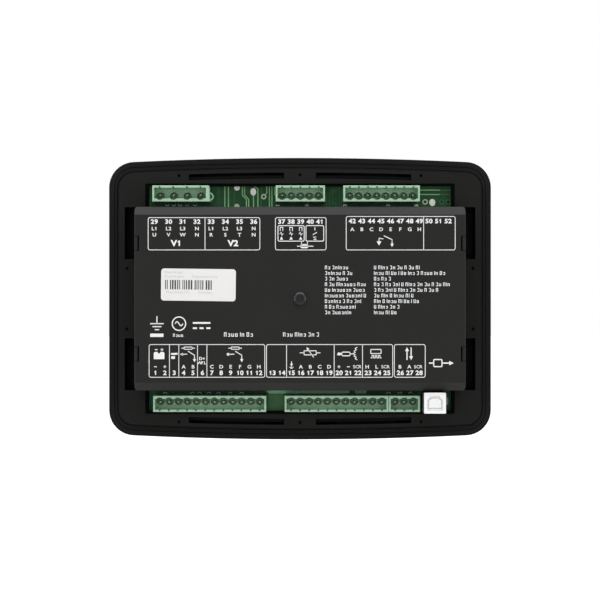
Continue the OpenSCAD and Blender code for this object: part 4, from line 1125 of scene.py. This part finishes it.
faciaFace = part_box("facia")[1].y / mm
facePlan = {
    "line": 0.45, "borderWide": 97.6, "borderTall": 69.3, "bow": 2.3, "corner": 7.0,
    "display": (-73.0, -7.0, 29.0, 51.0, 2.5), "keyRing": 8.0, "lamp": 2.1, "lampRing": 2.6,
    "lampLine": 0.35, "lampLift": 0.025, "modeLampZ": -37.4, "alarmU": -80.5,
    "alarmZ": (42.0, 29.0, 16.0, 3.0), "signU": -91.0, "mimicZ": -30.4, "mimicLamps": (46.0, 78.0),
}
modeKeys = ("stop", "manual", "auto", "mute", "start")
otherKeys = ("breaker_open", "breaker_close", "up", "down", "left", "right", "enter")


def keyMiddle(key):
    # middle of a key as seen from the front
    low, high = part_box("key_" + key)
    return -(low.x + high.x) / 2 / mm, (low.z + high.z) / 2 / mm


def plainLamps():
    # places of the lamps over the mode keys and in the breaker diagram
    overKeys = [(keyMiddle(key)[0], facePlan["modeLampZ"]) for key in modeKeys]
    return overKeys + [(u, facePlan["mimicZ"]) for u in facePlan["mimicLamps"]]


def alarmLamps():
    return [(facePlan["alarmU"], v) for v in facePlan["alarmZ"]]


def bowedFrame(wide, tall, bow, corner, steps=24):
    # rectangle with round corners whose long sides bow outwards
    points = []
    for side in (1, -1):
        reach = wide - corner
        for i in range(steps + 1):
            u = side * (reach - 2 * reach * i / steps)
            points.append((u, side * (tall - bow * (u / wide) ** 2)))
        edge = tall - bow * (reach / wide) ** 2 - corner
        start = 90 if side == 1 else 270
        points += arc(-side * reach, side * edge, corner, start, start + 90, 6)[1:]
        points += arc(-side * reach, -side * edge, corner, start + 90, start + 180, 6)[:-1]
    return points


def faciaLines():
    plan = facePlan
    lines = Marks(faciaFace, side=1)
    border = bowedFrame(plan["borderWide"], plan["borderTall"], plan["bow"], plan["corner"])
    lines.stroke(border, plan["line"], True)
    lines.stroke(roundedBox(*plan["display"]), plan["line"], True)
    for key in modeKeys + otherKeys:
        lines.ring(*keyMiddle(key), plan["keyRing"], plan["line"])
    for u, v in plainLamps() + alarmLamps():
        lines.ring(u, v, plan["lampRing"], plan["lampLine"])
    lines.piece("faciaLines", "greyInk", "label_paper")


faceLines = {"tick": 0.36, "fine": 0.42, "plain": 0.5, "blade": 0.6, "stem": 0.75}


def alarmSigns(signs):
    # battery, oil drop, thermometer and bell beside the alarm lamps
    u = facePlan["signU"]
    battery, oil, heat, bell = facePlan["alarmZ"]
    fine, plain = faceLines["fine"], faceLines["plain"]
    signs.stroke(roundedBox(u - 3.2, battery - 1.9, u + 3.2, battery + 1.5, 0.4), plain, True)
    for side in (-1, 1):
        pole = u + side * 1.9
        signs.fill(roundedBox(pole - 0.6, battery + 1.6, pole + 0.6, battery + 2.4, 0.15))
        bar = u + side * 1.7
        signs.stroke([(bar - 0.7, battery - 0.2), (bar + 0.7, battery - 0.2)], fine)
    signs.stroke([(u + 1.7, battery - 0.9), (u + 1.7, battery + 0.5)], fine)
    signs.stroke(arc(u, oil - 0.9, 1.7, -220, 40, 14) + [(u, oil + 2.9)], plain, True)
    signs.fill(arc(u, heat - 1.7, 1.15, 0, 330, 11))
    signs.stroke([(u, heat - 1.5), (u, heat + 2.6)], faceLines["stem"])
    for v in (0.6, 1.5, 2.4):
        signs.stroke([(u + 0.9, heat + v), (u + 2.1, heat + v)], faceLines["tick"])
    signs.stroke([(u - 2.4, bell - 1.6), (u - 1.7, bell - 0.9), *arc(u, bell + 0.9, 1.7, 180, 0, 10),
                  (u + 1.7, bell - 0.9), (u + 2.4, bell - 1.6)], plain, True)
    signs.fill(arc(u, bell - 1.9, 0.75, 180, 360, 6))


def mimicSign(signs):
    # generator, breaker and load in one line
    v = facePlan["mimicZ"]
    signs.ring(34.0, v, 2.7, faceLines["plain"])
    signs.stroke(sineWave(32.4, v, 0.27, 0.9), faceLines["fine"])
    for left, right in ((36.9, 43.2), (48.8, 57.6), (66.4, 75.2), (80.8, 87.0)):
        signs.stroke([(left, v), (right, v)], faceLines["plain"])
    signs.stroke([(57.6, v), (65.4, v + 3.4)], faceLines["blade"])
    for u in (57.6, 66.4):
        signs.disc(u, v, 0.75)
    signs.fill([(87.0, v - 2.2), (87.0, v + 2.2), (92.0, v)])


def faciaSigns():
    signs = Marks(faciaFace, side=1)
    alarmSigns(signs)
    mimicSign(signs)
    signs.piece("faciaSigns", "whiteInk", "label_paper")


def lampWindows(name, places, ink, slotName):
    lenses = Marks(faciaFace, side=1, lift=facePlan["lampLift"])
    for u, v in places:
        lenses.disc(u, v, facePlan["lamp"])
    lenses.piece(name, ink, slotName)


keyLines = {"fine": 0.6, "plain": 0.7, "start": 0.8, "bold": 0.85}


def stopSign(marks):
    marks.ring(0, 0, 3.0, keyLines["bold"])


def startSign(marks):
    marks.stroke([(-1.7, -2.8), (3.1, 0.0), (-1.7, 2.8)], keyLines["start"], True)


def manualSign(marks):
    # open hand
    for u, top in ((-1.5, 2.2), (-0.5, 3.2), (0.5, 3.0), (1.5, 2.2)):
        marks.stroke([(u, -0.4), (u, top)], keyLines["fine"])
    palm = [(-1.8, -0.4), (-1.8, -2.0), (-0.9, -3.1), (1.0, -3.1), (1.9, -1.9), (3.2, 0.2)]
    marks.stroke(palm, keyLines["fine"])


def onCircle(radius, angle):
    return arc(0, 0, radius, angle, angle, 1)[0]


def autoSign(marks):
    # two arrows that turn round
    for start in (20, 200):
        marks.stroke(arc(0, 0, 2.7, start, start + 125, 9), keyLines["plain"])
        marks.fill([onCircle(1.5, start + 125), onCircle(2.7, start + 160), onCircle(3.9, start + 125)])


def muteSign(marks):
    # bell struck through
    bell = [(-2.6, -1.7), (-1.8, -0.9), *arc(0, 1.0, 1.8, 180, 0, 10), (1.8, -0.9), (2.6, -1.7)]
    marks.stroke(bell, keyLines["fine"], True)
    marks.fill(arc(0, -2.1, 0.8, 180, 360, 6))
    marks.stroke([(-3.2, 3.2), (3.2, -3.2)], keyLines["fine"])


def openSign(marks):
    marks.strokes(keyLines["plain"], [(-3.8, -0.8), (-1.8, -0.8), (1.4, 2.0)], [(1.9, -0.8), (3.8, -0.8)])


def closeSign(marks):
    marks.stroke([(-3.8, -0.8), (3.8, -0.8)], keyLines["plain"])
    for u in (-1.9, 1.9):
        marks.stroke([(u, -2.0), (u, 0.4)], keyLines["fine"])


def chevron(turn):
    def sign(marks):
        tips = [onCircle(2.5, turn + 215), onCircle(2.0, turn + 90), onCircle(2.5, turn + 325)]
        marks.stroke(tips, keyLines["bold"])
    return sign


def enterSign(marks):
    marks.stroke([(-2.7, 0.1), (-0.9, -2.0), (2.9, 2.2)], keyLines["bold"])


keySigns = {
    "stop": (stopSign, "whiteInk"), "start": (startSign, "whiteInk"), "manual": (manualSign, "darkInk"),
    "auto": (autoSign, "darkInk"), "mute": (muteSign, "darkInk"), "breaker_open": (openSign, "darkInk"),
    "breaker_close": (closeSign, "darkInk"), "up": (chevron(0), "darkInk"),
    "left": (chevron(90), "darkInk"), "down": (chevron(180), "darkInk"), "right": (chevron(270), "darkInk"),
    "enter": (enterSign, "darkInk"),
}
keyFace = {"dome": 90.0, "lift": 0.02, "sink": 0.15}


def keyPrint(key, sign, ink):
    # the print meets the top of the dome in the middle and follows it outwards
    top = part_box("key_" + key)[1].y / mm
    u, v = keyMiddle(key)
    marks = Marks(top - keyFace["lift"], side=1, middle=(-u, v), **keyFace)
    sign(marks)
    marks.piece("sign_" + key, ink, "label_paper", "key_" + key)


faciaLines()
faciaSigns()
lampWindows("modeLampWindows", plainLamps(), "lampDark", "lamp_plastic")
lampWindows("alarmLampWindows", alarmLamps(), "lampRed", "key_red")
for key, (sign, ink) in keySigns.items():
    keyPrint(key, sign, ink)
print("front print and key signs made")

rearView = {"lens": 93.72, "sensor": 36.0, "spot": (0.0, -0.883, -0.000735), "tilt": 90.0}
camera = bpy.data.objects.new("camera", bpy.data.cameras.new("camera"))
camera.data.lens = rearView["lens"]
camera.data.sensor_width = rearView["sensor"]
camera.location = rearView["spot"]
camera.rotation_euler = (math.radians(rearView["tilt"]), 0.0, 0.0)
scene.collection.objects.link(camera)
scene.camera = camera


def seen(finish):
    # 1 for rays that show the background: straight, mirrored or through glass
    straight = finish.node("ShaderNodeLightPath", out="Is Camera Ray")
    rays = straight.socket.node.outputs
    total = straight
    for ray in ("Is Glossy Ray", "Is Transmission Ray"):
        total = total + Wire(finish, rays[ray])
    return total.atMost(1.0)


studio = {"ambient": (0.93, 0.97, 1.0), "ambientLevel": 0.62, "floorLevel": -0.30, "floorReach": 12.0,
          "floorTone": (0.80, 0.80, 0.80), "floorShade": 0.98, "floorCloud": 400.0, "floorGlow": 0.85}


def whiteRoom():
    world = bpy.data.worlds.new("studio")
    scene.world = world
    finish = Finish(world)
    soft = finish.node("ShaderNodeBackground", {},
                       {"Color": studio["ambient"], "Strength": studio["ambientLevel"]})
    bright = finish.node("ShaderNodeBackground", {}, {"Color": white, "Strength": 1.0})
    mixed = finish.node("ShaderNodeMixShader", {}, {0: seen(finish), 1: soft, 2: bright})
    finish.node("ShaderNodeOutputWorld", {}, {"Surface": mixed})


def paleFloor():
    finish = newFinish("paleFloor")
    shaded = shade(studio["floorTone"], studio["floorShade"])
    tone = finish.blend(finish.noise(studio["floorCloud"]), studio["floorTone"], shaded)
    matt = finish.node("ShaderNodeBsdfDiffuse", {}, {"Color": tone})
    strength = studio["floorGlow"] * seen(finish)
    glow = finish.node("ShaderNodeEmission", {}, {"Color": white, "Strength": strength})
    both = finish.node("ShaderNodeAddShader", {}, {0: matt, 1: glow})
    finish.node("ShaderNodeOutputMaterial", {}, {"Surface": both})
    mesh = bpy.data.meshes.new("floor")
    reach = studio["floorReach"]
    corners = [(x, y, studio["floorLevel"]) for x, y in rectangle(-reach, -reach, reach, reach)]
    mesh.from_pydata(corners, [], [(0, 1, 2, 3)])
    mesh.materials.append(finish.owner)
    floor = bpy.data.objects.new("floor", mesh)
    scene.collection.objects.link(floor)


lamps = {
    "overhead": {"spot": (0.0, -0.12, 0.80), "size": (1.3, 0.9), "level": 4.2, "tone": (0.95, 0.985, 1.0)},
    "behind": {"spot": (0.0, -1.30, 0.25), "size": (1.6, 1.0), "level": 0.36, "tone": white},
    "leftStrip": {"spot": (-1.0, -0.45, 0.05), "size": (0.10, 0.5), "level": 10.0, "tone": white},
    "rightStrip": {"spot": (1.0, -0.45, 0.05), "size": (0.10, 0.5), "level": 10.0, "tone": white},
    "ahead": {"spot": (0.3, 1.30, 0.45), "size": (1.4, 1.0), "level": 0.9, "tone": white},
}


def softLamp(name, look):
    # area lamp that points at the middle of the object
    data = bpy.data.lights.new(name, "AREA")
    data.shape = "RECTANGLE"
    data.size, data.size_y = look["size"]
    data.energy = look["level"] * math.pi * data.size * data.size_y
    data.color = look["tone"]
    lamp = bpy.data.objects.new(name, data)
    lamp.location = look["spot"]
    lamp.rotation_euler = (-Vector(look["spot"])).to_track_quat("-Z", "Y").to_euler()
    lamp.visible_camera = False
    scene.collection.objects.link(lamp)


whiteRoom()
paleFloor()
for lampName, look in lamps.items():
    softLamp(lampName, look)
print("camera, floor and lamps set")
